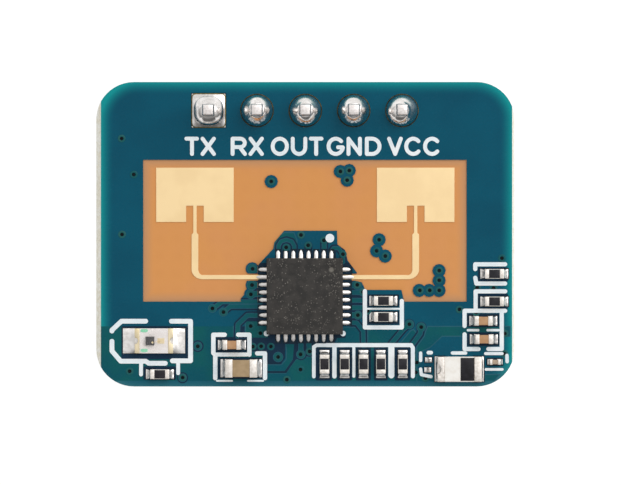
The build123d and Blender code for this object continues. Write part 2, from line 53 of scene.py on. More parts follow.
import bmesh
import bpy
from bpy.props import FloatProperty, FloatVectorProperty, PointerProperty
from mathutils import Matrix, Vector, noise

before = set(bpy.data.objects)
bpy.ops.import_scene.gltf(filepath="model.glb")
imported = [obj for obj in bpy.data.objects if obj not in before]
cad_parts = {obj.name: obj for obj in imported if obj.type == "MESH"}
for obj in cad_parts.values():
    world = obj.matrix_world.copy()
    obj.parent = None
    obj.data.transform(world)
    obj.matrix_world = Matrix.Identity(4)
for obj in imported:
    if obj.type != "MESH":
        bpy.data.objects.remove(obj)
cad_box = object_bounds()

# Places on the board are in millimetres from its middle, and sizes are in millimetres too.
# Levels are heights in metres, taken from the frame.
MM = 0.001
board_low, board_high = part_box("laminate")
board = (board_low + board_high) / 2
window_top = board_high.z
mask_low, mask_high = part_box("front_mask")
mask_top = mask_high.z
mask_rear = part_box("rear_mask")[0].z
land_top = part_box("header_lands")[1].z
chip_low, chip_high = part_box("chip_body")
part_seat = chip_low.z


# Colours and nodes

def linear(colour):
    """An sRGB hex colour as linear red, green, blue and alpha, which a property is already."""
    if not isinstance(colour, str):
        return colour
    parts = [int(colour[i:i + 2], 16) / 255 for i in (1, 3, 5)]
    return (*(p / 12.92 if p <= 0.04045 else ((p + 0.055) / 1.055) ** 2.4 for p in parts), 1.0)


def add_node(tree, kind, inputs=None, output=None, **settings):
    """Adds a node, sets or links its inputs, and gives its named output or the first in use."""
    node = tree.nodes.new("ShaderNode" + kind)
    for name, value in settings.items():
        setattr(node, name, value)
    for name, value in (inputs or {}).items():
        if isinstance(value, bpy.types.NodeSocket):
            tree.links.new(value, node.inputs[name])
        else:
            node.inputs[name].default_value = value
    return node.outputs[output] if output else next(o for o in node.outputs if o.enabled)


def new_finish(name, **values):
    """A material, its nodes, its shader, and the object's own coordinates in metres."""
    material = bpy.data.materials.new(name)
    material.use_nodes = True
    tree = material.node_tree
    shader = tree.nodes["Principled BSDF"]
    for socket, value in values.items():
        shader.inputs[socket.replace("_", " ")].default_value = value
    return material, tree, shader, add_node(tree, "TexCoord", output="Object")


def mottled(tree, place, first, second, blotch):
    """Two colours mixed in soft blotches of a real size in millimetres."""
    cloud = add_node(tree, "TexNoise", {"Vector": place, "Scale": 1 / (blotch * MM), "Detail": 3.0})
    share = add_node(
        tree, "MapRange", {"Value": cloud, "From Min": 0.35, "From Max": 0.65},
        interpolation_type="SMOOTHSTEP",
    )
    ends = {"Factor": share, "A": linear(first), "B": linear(second)}
    return add_node(tree, "Mix", ends, data_type="RGBA")


def complete(finish, colour, grain, depth, smoothest, roughest):
    """Gives a finish its colour, and bumps of a real size and depth in millimetres with a
    roughness that follows them."""
    material, tree, shader, place = finish
    cloud = add_node(tree, "TexNoise", {"Vector": place, "Scale": 1 / (grain * MM), "Detail": 2.0})
    bump = add_node(tree, "Bump", {"Height": cloud, "Distance": depth * MM, "Strength": 1.0})
    sheen = add_node(tree, "MapRange", {"Value": cloud, "To Min": smoothest, "To Max": roughest})
    for value, socket in ((colour, "Base Color"), (bump, "Normal"), (sheen, "Roughness")):
        tree.links.new(value, shader.inputs[socket])
    return material


def blotched(name, first, second, blotch, surface, **values):
    """A finish in two mottled colours. Its surface is what complete takes after the colour."""
    finish = new_finish(name, **values)
    _, tree, _, place = finish
    return complete(finish, mottled(tree, place, first, second, blotch), *surface)


def beyond_box(tree, place, low, high):
    """How far a point lies beyond an upright box, in metres: along each side, and the larger."""
    middle = ((low[0] + high[0]) / 2, (low[1] + high[1]) / 2, 0)
    half = ((high[0] - low[0]) / 2, (high[1] - low[1]) / 2, 1)
    shifted = add_node(tree, "VectorMath", {0: place, 1: middle}, operation="SUBTRACT")
    folded = add_node(tree, "VectorMath", {0: shifted}, operation="ABSOLUTE")
    beyond = add_node(tree, "VectorMath", {0: folded, 1: half}, operation="SUBTRACT")
    parts = add_node(tree, "SeparateXYZ", {0: beyond}).node.outputs
    return beyond, add_node(tree, "Math", {0: parts[0], 1: parts[1]}, operation="MAXIMUM")


def edge_distance(tree, place, corner=2.0 * MM):
    """How far a point lies inside the lacquer's rounded outline, in metres and below nought."""
    inset = Vector((corner, corner, 0))
    beyond, larger = beyond_box(tree, place, mask_low + inset, mask_high - inset)
    outside = add_node(tree, "VectorMath", {0: beyond, 1: (0, 0, 0)}, operation="MAXIMUM")
    length = add_node(tree, "VectorMath", {0: outside}, operation="LENGTH")
    within = add_node(tree, "Math", {0: larger, 1: 0.0}, operation="MINIMUM")
    whole = add_node(tree, "Math", {0: length, 1: within}, operation="ADD")
    return add_node(tree, "Math", {0: whole, 1: -corner}, operation="ADD")


def window_box(left_gap=0.68, right_gap=0.64, top_gap=0.41, bottom_margin=4.46):
    """The window's lowest and highest corner, from the antennas and the gaps beside them."""
    left_low, left_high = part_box("transmit_antenna")
    right_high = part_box("receive_antenna")[1]
    return (
        (left_low.x - left_gap * MM, board_low.y + bottom_margin * MM),
        (right_high.x + right_gap * MM, left_high.y + top_gap * MM),
    )


# Finishes, each named for its material and how its surface was made

def mask_lacquer():
    """Solder mask: a lacquer, printed and baked. It is smooth and semi-gloss, darker over the
    ground plane, and lighter in a rim where light passes through the bare laminate."""
    look = bpy.context.scene.radar_module
    finish = new_finish("cured_lacquer_teal", IOR=1.5, Specular_IOR_Level=0.12)
    _, tree, _, place = finish
    blotches = mottled(tree, place, look.mask_colour, "#004C62", 3.5)
    inside = edge_distance(tree, place)
    ramp = add_node(tree, "MapRange", {"Value": inside, "From Min": -0.7 * MM, "From Max": 0.0})
    rim = add_node(tree, "Math", {0: ramp, 1: 2.0}, operation="POWER")
    # At the near edge little light comes through, and the rim stays dull.
    near, far = board_low.y + 0.3 * MM, board_low.y + 1.6 * MM
    height = add_node(tree, "SeparateXYZ", {0: place}, "Y")
    lower = add_node(tree, "MapRange", {"Value": height, "From Min": near, "From Max": far})
    ends = {"Factor": lower, "A": linear("#2A6874"), "B": linear("#0D9294")}
    lit = add_node(tree, "Mix", ends, data_type="RGBA")
    colour = add_node(tree, "Mix", {"Factor": rim, "A": blotches, "B": lit}, data_type="RGBA")
    return complete(finish, colour, 0.5, 0.002, 0.2, 0.34)


def masked_copper(name, first, second):
    """The same lacquer over copper: it follows the metal's relief and looks greener."""
    surface = (0.4, 0.002, 0.2, 0.34)
    return blotched(name, first, second, 1.6, surface, IOR=1.5, Specular_IOR_Level=0.12)


def painted_hole_shade():
    """Painted shade in a drilled hole, plated and lacquered over: a dark disc with paler specks."""
    material, tree, shader, place = new_finish(
        "painted_shade_in_drill_hole", Roughness=0.8, Specular_IOR_Level=0.1
    )
    dark = mottled(tree, place, "#070C0E", "#152124", 0.08)
    tree.links.new(dark, shader.inputs["Base Color"])
    return material


# Left, low, right and high side of where only thin gaps of laminate are bare, by the chip.
# The laminate there is darkened with painted shade.
thin_gaps = ((-2.5, -4.83, 2.45, -1.67), (-1.6, -5.8, 1.55, -0.75), (3.1, -4.9, 5.05, -3.08))


def woven_laminate(thread=0.45):
    """Glass cloth in epoxy, pressed and then milled. Its face is tan with a faint weave of 0.45 mm
    threads, and its cut edges are pale and fibrous."""
    look = bpy.context.scene.radar_module
    finish = new_finish("woven_glass_epoxy", IOR=1.5, Specular_IOR_Level=0.25)
    _, tree, _, place = finish
    tan = mottled(tree, place, look.laminate_colour, "#DC9755", 2.4)
    # A wave's bands are pi / 10 apart at a scale of 1, and each thread takes half a wave.
    bands = {
        "Vector": place, "Scale": math.pi / 20 / (thread * MM), "Distortion": 0.6, "Detail": 1.0,
    }
    threads = [add_node(tree, "TexWave", bands, "Fac", bands_direction=way) for way in "XY"]
    weave = add_node(tree, "Math", {0: threads[0], 1: threads[1]}, operation="MULTIPLY")
    faint = add_node(tree, "MapRange", {"Value": weave, "To Max": 0.1})
    ends = {"Factor": faint, "A": tan, "B": linear("#CC864A")}
    woven = add_node(tree, "Mix", ends, data_type="RGBA")
    # Near the window's edge the lacquer's step keeps the light off and the tan turns duller.
    window = beyond_box(tree, place, *window_box())[1]
    border = add_node(
        tree, "MapRange", {"Value": window, "From Min": -0.6 * MM, "From Max": 0, "To Max": 0.8},
        interpolation_type="SMOOTHSTEP",
    )
    ends = {"Factor": border, "A": woven, "B": linear("#BF8F68")}
    dull = add_node(tree, "Mix", ends, data_type="RGBA")
    # Outside the window and by the chip only thin gaps round the lands are bare. Painted shade
    # makes them dark: they are narrow, between the lacquer's edge, the lands and the parts.
    gaps = add_node(tree, "Math", {0: window, 1: 0.0}, operation="GREATER_THAN")
    for left, low, right, high in thin_gaps:
        beside = beyond_box(tree, place, at(left, low, 0), at(right, high, 0))[1]
        near = add_node(tree, "Math", {0: beside, 1: 0.0}, operation="LESS_THAN")
        gaps = add_node(tree, "Math", {0: gaps, 1: near}, operation="MAXIMUM")
    ends = {"Factor": gaps, "A": dull, "B": linear("#142F3F")}
    gap_shaded = add_node(tree, "Mix", ends, data_type="RGBA")
    upward = add_node(tree, "SeparateXYZ", {0: add_node(tree, "NewGeometry", output="Normal")}, "Z")
    flat = add_node(tree, "Math", {0: upward, 1: 0.98}, operation="GREATER_THAN")
    fibres = mottled(tree, place, "#FBFAF1", "#F1ECDA", 0.25)
    colour = add_node(tree, "Mix", {"Factor": flat, "A": fibres, "B": gap_shaded}, data_type="RGBA")
    return complete(finish, colour, 0.15, 0.004, 0.42, 0.6)


def gold_plate(name, first, second):
    """Copper plated with nickel and a thin coat of gold: pale, satin and even."""
    return blotched(name, first, second, 1.5, (0.06, 0.0006, 0.38, 0.5), Metallic=1.0)


def reflowed_solder(name, surface, colours=("#F3EFEC", "#DEDAD6")):
    """Tin solder, melted and set: a bright skin with soft dimples and frosted spots."""
    return blotched(name, *colours, 0.22, surface, Metallic=1.0)


def screen_ink():
    """White ink, screen printed and baked: matte, thin and slightly uneven."""
    white, surface = bpy.context.scene.radar_module.ink_colour, (0.12, 0.003, 0.5, 0.7)
    return blotched("screen_printed_white_ink", white, "#E6F0F5", 0.6, surface, IOR=1.5)


def moulded_nylon():
    """Glass-filled nylon, injection moulded: black, with a fine matte grain."""
    return blotched(
        "moulded_black_nylon", "#151516", "#1D1E1F", 0.3, (0.08, 0.003, 0.45, 0.62),
        IOR=1.53, Specular_IOR_Level=0.35,
    )


def pin_plate():
    """Brass wire plated with gold. Above the plastic the solder has tinned it grey."""
    finish = new_finish("gold_plated_brass_wire", Metallic=1.0)
    _, tree, _, place = finish
    gold = mottled(tree, place, "#E8CF8C", "#DDBE74", 0.8)
    tin = mottled(tree, place, "#F4EEEB", "#DED7D3", 0.12)
    height = add_node(tree, "SeparateXYZ", {0: place}, "Z")
    upper = add_node(tree, "Math", {0: height, 1: land_top}, operation="GREATER_THAN")
    colour = add_node(tree, "Mix", {"Factor": upper, "A": gold, "B": tin}, data_type="RGBA")
    return complete(finish, colour, 0.07, 0.002, 0.3, 0.45)


def moulding_compound(mark_inset=0.6):
    """Epoxy filled with silica, transfer moulded: dark grey, matte, with pale grains of filler."""
    look = bpy.context.scene.radar_module
    finish = new_finish("silica_filled_epoxy", IOR=1.55, Specular_IOR_Level=0.3)
    _, tree, _, place = finish
    dark = mottled(tree, place, look.chip_colour, "#363330", 0.5)
    grains = add_node(tree, "TexVoronoi", {"Vector": place, "Scale": 1 / (0.11 * MM)})
    specks = add_node(
        tree, "MapRange", {"Value": grains, "From Min": 0.34, "From Max": 0.16, "To Max": 0.7}
    )
    thin = add_node(tree, "TexNoise", {"Vector": place, "Scale": 1 / (0.3 * MM)})
    some = add_node(tree, "MapRange", {"Value": thin, "From Min": 0.45, "From Max": 0.6})
    share = add_node(tree, "Math", {0: specks, 1: some}, operation="MULTIPLY")
    ends = {"Factor": share, "A": dark, "B": linear("#8A857D")}
    grained = add_node(tree, "Mix", ends, data_type="RGBA")
    # The dimple that marks lead 1 keeps a chalky floor.
    mark = chip_high - Vector((mark_inset, mark_inset, 0)) * MM
    gap = add_node(tree, "VectorMath", {0: place, 1: mark}, operation="DISTANCE")
    chalk = add_node(
        tree, "MapRange",
        {"Value": gap, "From Min": 0.17 * MM, "From Max": 0.09 * MM, "To Max": 0.55},
    )
    ends = {"Factor": chalk, "A": grained, "B": linear("#8C877E")}
    return complete(finish, add_node(tree, "Mix", ends, data_type="RGBA"), 0.06, 0.002, 0.5, 0.7)


def tin_plate():
    """Nickel and tin, plated onto fired silver ends: warm pale grey, satin and finely pitted."""
    surface = (0.05, 0.0025, 0.4, 0.6)
    return blotched("tin_plated_silver", "#F6F0EA", "#E0D9D0", 0.16, surface, Metallic=1.0)


def fired_body(name, first, second, rough=(0.35, 0.5)):
    """A fired ceramic or glaze: dense, smooth, with a fine even grain."""
    surface = (0.05, 0.001, *rough)
    return blotched(name, first, second, 0.35, surface, IOR=1.6, Specular_IOR_Level=0.16)


def clear_epoxy():
    """Clear epoxy, moulded over the sensor's die: glossy, with a faint haze."""
    surface, values = (0.5, 0.0008, 0.03, 0.08), {"IOR": 1.5, "Alpha": 0.06}
    material = blotched("moulded_clear_epoxy", "#FBF8F6", "#F4F0EC", 0.8, surface, **values)
    material.surface_render_method = "BLENDED"
    return material


# Meshes and pieces

def place_piece(name, mesh, finishes, replaced=(), smooth_below=35):
    """Turns a finished mesh into a piece that rides on the board and stands for its nodes."""
    data = bpy.data.meshes.new(name)
    bmesh.ops.recalc_face_normals(mesh, faces=mesh.faces)
    mesh.to_mesh(data)
    mesh.free()
    piece = bpy.data.objects.new(name, data)
    bpy.context.scene.collection.objects.link(piece)
    for finish in finishes:
        data.materials.append(finish)
    data.shade_smooth()
    data.set_sharp_from_angle(angle=math.radians(smooth_below))
    piece.modifiers.new("even_normals", "WEIGHTED_NORMAL").keep_sharp = True
    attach(piece, "root")
    if replaced:
        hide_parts(*replaced)


def dress(node, finish):
    """Gives a node of the frame, whose shape is right as it is, its finish."""
    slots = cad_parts[node].data.materials
    slots.clear()
    slots.append(finish)


def node_mesh(nodes):
    """The frame's own faces for these nodes, joined up again where they share corners."""
    mesh = bmesh.new()
    for node in nodes:
        mesh.from_mesh(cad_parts[node].data)
    bmesh.ops.remove_doubles(mesh, verts=mesh.verts, dist=2e-8)
    bmesh.ops.dissolve_limit(
        mesh, angle_limit=math.radians(0.5), verts=mesh.verts, edges=mesh.edges
    )
    return mesh


def break_edges(mesh, edges, width, segments, clamped=True):
    """Rounds edges by a radius in millimetres, which gives way where it is clamped."""
    bmesh.ops.bevel(
        mesh, geom=edges, offset=width * MM, segments=segments, profile=0.5, affect="EDGES",
        clamp_overlap=clamped,
    )


def rounded_piece(name, nodes, finish, width, segments=2, above=40):
    """A piece in the shape of its nodes, with its edges rounded by a radius in millimetres."""
    mesh, limit = node_mesh(nodes), math.radians(above)
    edges = [e for e in mesh.edges if len(e.link_faces) == 2 and e.calc_face_angle(0) > limit]
    break_edges(mesh, edges, width, segments)
    place_piece(name, mesh, [finish], nodes)


def at(x, y, level):
    """A place on the board, in metres."""
    return board.x + x * MM, board.y + y * MM, level


def footprint(node):
    """A node's left, low, right and high side on the board, in millimetres."""
    return [(v[i] - board[i]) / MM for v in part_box(node) for i in (0, 1)]


def corners(mesh, outline, level):
    """Adds a corner at each point of an outline."""
    return [mesh.verts.new(at(x, y, level)) for x, y in outline]


def skin(mesh, loops, capped=True):
    """Covers closed loops of corners and closes both ends. Gives the faces between the loops."""
    sides = [
        mesh.faces.new((lower[i - 1], lower[i], upper[i], upper[i - 1]))
        for lower, upper in zip(loops, loops[1:]) for i in range(len(lower))
    ]
    if capped:
        mesh.faces.new(loops[0][::-1])
        mesh.faces.new(loops[-1])
    return sides


def prism(mesh, outline, bottom, top):
    """Adds a flat-ended solid over an outline."""
    skin(mesh, [corners(mesh, outline, bottom), corners(mesh, outline, top)])


def arc(x, y, across, up, start, end, count=10):
    """Points along part of an ellipse, from one angle to another in degrees."""
    angles = [math.radians(start + (end - start) * i / count) for i in range(count + 1)]
    return [(x + across * math.cos(a), y + up * math.sin(a)) for a in angles]


def disc(x, y, radius, count=28):
    """The outline of a round spot."""
    return arc(x, y, radius, radius, 0, 360, count)[:-1]


def rounded_corners(left, low, right, high, radius):
    """The outline of a rectangle with rounded corners."""
    middles = (
        (right - radius, high - radius), (left + radius, high - radius),
        (left + radius, low + radius), (right - radius, low + radius),
    )
    return [
        point for turn, (x, y) in enumerate(middles)
        for point in arc(x, y, radius, radius, 90 * turn, 90 * turn + 90, 4)
    ]


def stroke(mesh, line, width, bottom, top):
    """Adds a line of round-ended strokes."""
    half = width / 2
    for start, end in zip(line, line[1:]):
        side = math.degrees(math.atan2(end[1] - start[1], end[0] - start[0])) - 90
        outline = arc(*end, half, half, side, side + 180, 8)
        outline += arc(*start, half, half, side + 180, side + 360, 8)
        prism(mesh, outline, bottom, top)


def trimmed(line, amount):
    """The same line, with both its ends drawn in."""
    points = [Vector(point) for point in line]
    points[0] += (points[1] - points[0]).normalized() * amount
    points[-1] += (points[-2] - points[-1]).normalized() * amount
    return points


def combined(first, second, operation):
    """Two meshes of closed solids, which may overlap themselves, joined, cut or shared."""
    made = []
    for mesh in (first, second):
        bmesh.ops.recalc_face_normals(mesh, faces=mesh.faces)
        data = bpy.data.meshes.new("work")
        mesh.to_mesh(data)
        mesh.free()
        made.append(bpy.data.objects.new("work", data))
        bpy.context.scene.collection.objects.link(made[-1])
    cut = made[0].modifiers.new("cut", "BOOLEAN")
    cut.operation, cut.solver, cut.use_self, cut.object = operation, "EXACT", True, made[1]
    done = bmesh.new()
    result = made[0].evaluated_get(bpy.context.evaluated_depsgraph_get())
    done.from_mesh(result.to_mesh())
    result.to_mesh_clear()
    for helper in made:
        data = helper.data
        bpy.data.objects.remove(helper)
        bpy.data.meshes.remove(data)
    return done


# Settings

colour_field = {"subtype": "COLOR", "size": 4, "min": 0, "max": 1}
length_field = {"subtype": "DISTANCE", "unit": "LENGTH"}


class RadarModuleLook(bpy.types.PropertyGroup):
    """Colours and small sizes of the board's finish"""

    mask_colour: FloatVectorProperty(
        name="Solder mask", description="Colour of the lacquer over the ground plane",
        default=linear("#005268"), **colour_field,
    )
    laminate_colour: FloatVectorProperty(
        name="Laminate", description="Colour of the bare laminate in the window",
        default=linear("#DB9659"), **colour_field,
    )
    plate_colour: FloatVectorProperty(
        name="Antenna plate", description="Colour of the gold plate on the antennas",
        default=linear("#F8DCAA"), **colour_field,
    )
    ink_colour: FloatVectorProperty(
        name="Printed ink", description="Colour of the printed frames and pin labels",
        default=linear("#F4F9FB"), **colour_field,
    )
    chip_colour: FloatVectorProperty(
        name="Chip", description="Colour of the chip's moulding compound",
        default=linear("#272523"), **colour_field,
    )
    ink_height: FloatProperty(
        name="Ink height", description="How far the printed ink stands above the lacquer",
        default=0.026 * MM, min=0.015 * MM, max=0.05 * MM, precision=6, **length_field,
    )
    stroke_width: FloatProperty(
        name="Stroke width", description="Width of the pin labels' lines, in millimetres",
        default=0.205, min=0.05, max=0.5,
    )
    hole_radius: FloatProperty(
        name="Ground hole radius", description="Radius of the small drilled holes, in millimetres",
        default=0.1, min=0.03, max=0.3,
    )
    joint_unevenness: FloatProperty(
        name="Joint unevenness", description="How far joints stray from round, in millimetres",
        default=0.03, min=0, max=0.1,
    )
    edge_radius: FloatProperty(
        name="Edge radius", description="Radius of the chip parts' edges, in millimetres",
        default=0.03, min=0.005, max=0.08,
    )


class RadarModuleStage(bpy.types.PropertyGroup):
    """Light, floor and camera"""

    softbox_size: FloatProperty(
        name="Softbox size", description="Side of the square light above the board",
        default=0.5, min=0.05, max=2, **length_field,
    )
    softbox_power: FloatProperty(
        name="Softbox power", description="Power of the light above the board, in watts",
        default=1.3, min=0, max=20,
    )
    ambient: FloatProperty(
        name="Ambient light", description="Strength of the even light from all round",
        default=0.62, min=0, max=2,
    )
    floor_drop: FloatProperty(
        name="Floor drop", description="Gap between the lowest pin tip and the floor",
        default=0.2 * MM, min=0, max=0.05, **length_field,
    )
    camera_height: FloatProperty(
        name="Camera height", description="Distance from the board's face to the camera",
        default=0.3, min=0.05, max=2, **length_field,
    )
    view_width: FloatProperty(
        name="View width", description="Width of the picture at the board's face",
        default=32.63 * MM, min=0.01, max=0.5, **length_field,
    )


# Steps

# Drilled ground holes. Those of the second group lie in the lacquer's dots inside the window.
ground_holes = (
    (-9.65, 5.03), (-9.01, 3.14), (-9.63, -0.01), (-4.88, -3.9), (-5.65, -5.89), (-9.23, -7.2),
    (-6.45, -7.53), (-4.3, -4.09), (-2.87, -4.83), (-2.36, -5.2), (-2.76, -5.9), (-2.32, -5.89),
    (-1.81, -5.9), (-1.43, -6.45), (-0.25, -6.31), (0.23, -6.16), (-0.25, -7.11), (-0.97, -7.64),
    (-2.77, -1.82), (-2.8, -2.67), (-2.86, -3.16), (-0.23, -0.04), (0.15, -0.58), (-1.01, -0.69),
    (0.98, -0.32), (1.98, -1.05), (2.73, -2.66), (3.03, -3.04), (2.76, -4.25), (3.28, -4.03),
    (5.47, -4.73), (6.09, -4.88), (9.03, -2.81), (9.89, -2.82), (8.1, -3.95), (8.98, -4.11),
    (10.48, -5.22), (5.86, -6.74), (5.81, -7.26), (6.31, -7.56), (10.45, -6.27), (10.33, -1.26),

    (-1.792, 2.772), (1.844, 3.297), (2.312, 3.345), (2.197, 2.84), (3.878, -0.292),
    (3.747, -0.875), (4.204, -1.148), (7.036, -1.91), (7.036, -2.42), (7.036, -2.951),
    (6.537, -2.951), (6.017, -2.951),
)
# Each row of a hole's rim: its radius over the hole's, and its height over the lacquer
rim_profile = ((2.0, 0.01), (1.8, 0.019), (1.35, 0.019), (1.05, 0.012))
well_height, well_depth = 0.014, 0.004
# The lacquer round a land: its radius and height outside, and its radius and dip at the land
collar_radius, collar_height, land_radius, land_dip = 1.03, 0.003, 0.885, 0.004


class RADAR_OT_board(bpy.types.Operator):
    """Finish the laminate, the lacquer on both faces and the drilled ground holes"""

    bl_idname = "radar_module.board"
    bl_label = "Board"

    def execute(self, context):
        radius = context.scene.radar_module.hole_radius
        lacquer = mask_lacquer()
        dress("laminate", woven_laminate())
        dress("front_mask", lacquer)
        dress("rear_mask", lacquer)
        dress("ground_plane", fired_body("etched_copper", "#B87A55", "#A86B48", (0.3, 0.45)))
        rims, shaded_wells, collars = bmesh.new(), bmesh.new(), bmesh.new()
        for x, y in ground_holes:
            skin(rims, [
                corners(rims, disc(x, y, share * radius, 24), mask_top + rise * MM)
                for share, rise in rim_profile
            ])
            # A dark disc at each face of the hole is painted shade for the hole's depth.
            well = disc(x, y, radius, 24)
            prism(shaded_wells, well, mask_top, mask_top + well_height * MM)
            prism(shaded_wells, well, mask_rear - well_depth * MM, mask_rear)
        copper = masked_copper("lacquer_over_hole_rim", "#12585E", "#245E5C")
        place_piece("hole_rims", rims, [copper])
        place_piece("hole_wells_painted_shade", shaded_wells, [painted_hole_shade()])
        # Lacquer piles up a little round the round lands.
        for number in range(2, 6):
            left, low, right, high = footprint(f"solder_joint_{number}")
            x, y = (left + right) / 2, (low + high) / 2
            loops = [
                corners(collars, disc(x, y, reach, 64), level) for reach, level in (
                    (collar_radius, mask_top), (collar_radius, mask_top + collar_height * MM),
                    (land_radius, mask_top - land_dip * MM), (land_radius, land_top),
                )
            ]
            skin(collars, loops + loops[:1], capped=False)
        place_piece("lacquer_collars", collars, [lacquer])
        return {"FINISHED"}


# Copper under the lacquer. Tracks, each with its width
tracks = (
    (0.19, ((-2.33, -3.55), (-4.38, -3.55), (-4.87, -3.92))),
    (0.19, ((-2.33, -3.79), (-3.94, -3.79), (-4.3, -4.09))),
    (0.2, ((-2.43, -4.26), (-3.04, -4.26), (-3.54, -4.74), (-3.56, -5.35))),
    (0.26, ((-2.33, -1.86), (-2.74, -1.83))),
    (0.26, ((-2.33, -2.66), (-2.8, -2.67))),
    (0.26, ((-2.33, -3.11), (-2.87, -3.16))),
    (0.2, ((2.4, -3.06), (3.01, -3.06))),
    (0.2, ((2.4, -3.47), (3.16, -3.47))),
    (0.2, ((2.4, -3.86), (3.16, -3.86))),
    (0.26, ((2.4, -2.67), (2.73, -2.66))),
    (0.26, ((2.4, -4.25), (2.77, -4.25))),
    (0.18, ((2.4, -4.65), (2.7, -4.65), (3.04, -5.08), (3.06, -5.87))),
    (0.2, ((5.47, -4.73), (5.16, -4.98), (4.5, -5.77))),
    (0.2, ((6.09, -4.87), (6.04, -5.22), (5.61, -5.82))),
    (0.22, ((-0.23, -5.56), (-0.23, -6.31))),
    (0.22, ((0.17, -5.56), (0.23, -6.16))),
    (0.16, (
        (-1.41, -0.88), (-1.41, -0.61), (-1.28, -0.38), (-0.99, -0.29), (-0.71, -0.38),
        (-0.58, -0.61), (-0.58, -0.88),
    )),
    (0.2, ((0.99, -0.88), (0.99, -0.41))),
    (0.2, ((0.16, -0.88), (0.16, -0.58))),
    (0.16, ((1.38, -0.88), (1.48, -0.73), (1.74, -0.72), (1.97, -1.05), (1.99, -1.46))),
)
# Outlines of the filled areas, each edged by a pale painted highlight. Where they meet the
# fill's own margins they have no edge to show.
fill_left, fill_low = -10.81, -7.7
fills = (
    (
        (fill_left, -4.84), (-3.78, -4.84), (-3.78, -6.19), (-2.01, -6.19), (-2.01, fill_low),
        (fill_left, fill_low),
    ),
    (
        (-2.01, -7.3), (-1.02, -7.3), (-0.51, -6.58), (0.01, -6.45), (0.35, -6.42), (0.35, -5.79),
        (1.51, -5.79), (1.67, -5.66), (1.67, -5.37), (2.01, -5.37), (2.01, -4.89), (2.69, -4.89),
        (2.85, -5.1), (2.85, -6.08), (5.86, -6.08), (5.86, fill_low), (-2.01, fill_low),
    ),
    (
        (-3.15, -4.64), (-3.06, -4.55), (-1.99, -4.55), (-1.99, -5.22), (-1.54, -5.22),
        (-1.54, -5.46), (-3.15, -5.46),
    ),
    (
        (-2.8, -5.67), (-1.62, -5.67), (-1.43, -5.48), (-1.22, -5.53), (-1.6, -5.97),
        (-1.66, -6.1), (-2.8, -6.1),
    ),
    (
        (-1.05, -5.5), (-0.58, -5.5), (-0.57, -6.05), (-0.64, -6.58), (-1.07, -7.2), (-2.01, -7.2),
        (-2.01, -6.86), (-1.25, -6.86), (-1.01, -6.58), (-0.99, -6.19),
    ),
    ((3.28, -4.87), (5.03, -4.87), (4.35, -5.69), (4.35, -6.08), (3.28, -6.08)),
    ((5.55, -5.06), (5.69, -5.01), (5.84, -5.19), (5.45, -5.74), (5.45, -5.92), (4.82, -5.92)),
    (
        (6.44, -4.84), (10.76, -4.84), (10.76, -5.36), (7.19, -5.36), (6.55, -5.95),
        (6.03, -6.19), (5.86, -6.19), (5.86, -5.91), (6.25, -5.37), (6.33, -5.08),
    ),
    ((5.86, -7.37), (10.23, -7.37), (9.92, fill_low), (5.86, fill_low)),
    ((-1.62, -0.19), (-1.09, 0.09), (-0.59, 0.08), (-0.44, -0.3), (-0.44, -0.78), (-1.62, -0.78)),
)
# Outlines of the areas without copper between them
bare = (
    (
        (-2.8, -5.43), (-1.06, -5.43), (-1.06, -6.5), (-1.28, -6.83), (-2.01, -6.83),
        (-2.01, -6.16), (-2.8, -6.16),
    ),
    (
        (-0.56, -5.5), (0.37, -5.5), (0.37, -6.39), (0.01, -6.42), (-0.49, -6.58), (-1.0, -7.29),
        (-2.01, -7.29), (-2.01, -7.19), (-1.08, -7.19), (-0.65, -6.57),
    ),
    ((-1.96, -5.19), (2.11, -5.19), (2.11, -5.45), (1.67, -5.45), (1.51, -5.77), (-1.96, -5.77)),
    ((-2.55, -1.51), (-1.96, -1.51), (-1.96, -4.61), (-2.55, -4.61)),
    ((-1.59, -0.86), (1.61, -0.86), (1.61, -1.3), (-1.59, -1.3)),
    (
        (1.98, -1.48), (2.48, -1.48), (2.48, -2.77), (3.19, -2.88), (3.19, -4.03), (2.48, -4.09),
        (2.48, -4.82), (1.98, -4.82),
    ),
    ((-3.74, -4.84), (-3.19, -4.84), (-3.19, -5.5), (-3.74, -5.5)),
    ((-3.27, -4.61), (-3.06, -4.38), (-1.96, -4.38), (-1.96, -4.58), (-3.12, -4.58)),
)
# Left, low, right and high side of the bare border round each part's lands
borders = (
    (-9.66, -6.57, -6.16, -4.83), (-8.51, -7.64, -6.79, -6.94), (-4.7, -6.21, -3.06, -5.4),
    (-4.59, -7.6, -2.21, -6.47), (0.54, -7.68, 1.4, -5.95), (1.67, -7.68, 2.46, -5.95),
    (2.65, -7.68, 3.45, -5.95), (3.6, -7.68, 4.33, -5.95), (4.7, -7.68, 5.52, -5.95),
    (3.25, -3.81, 4.93, -3.16), (3.25, -4.74, 4.93, -4.04), (9.07, -2.48, 10.65, -1.74),
    (9.07, -3.93, 10.65, -3.12), (8.5, -4.88, 10.18, -4.18), (8.5, -5.87, 10.18, -5.15),
    (9.5, -6.92, 10.4, -6.49), (6.22, -6.73, 6.72, -6.44), (6.22, -7.28, 6.65, -6.96),
)
# Holes in a land: place, and the radii of the bare ring, if there is one, and of the land in it
ringed = (
    (-5.65, -5.88, 0.31, 0.21), (-6.45, -7.54, 0.29, 0.2), (-1.43, -6.45, 0.0, 0.24),
    (-0.23, -6.31, 0.31, 0.22), (0.23, -6.16, 0.28, 0.19), (5.47, -4.73, 0.28, 0.22),
    (6.09, -4.88, 0.28, 0.22), (-4.88, -3.9, 0.0, 0.2), (-4.3, -4.09, 0.0, 0.21),
    (-2.77, -1.82, 0.0, 0.25), (-2.8, -2.67, 0.0, 0.24), (-2.86, -3.16, 0.0, 0.22),
    (2.73, -2.66, 0.0, 0.24), (2.76, -4.25, 0.27, 0.21), (3.03, -3.04, 0.0, 0.2),
)
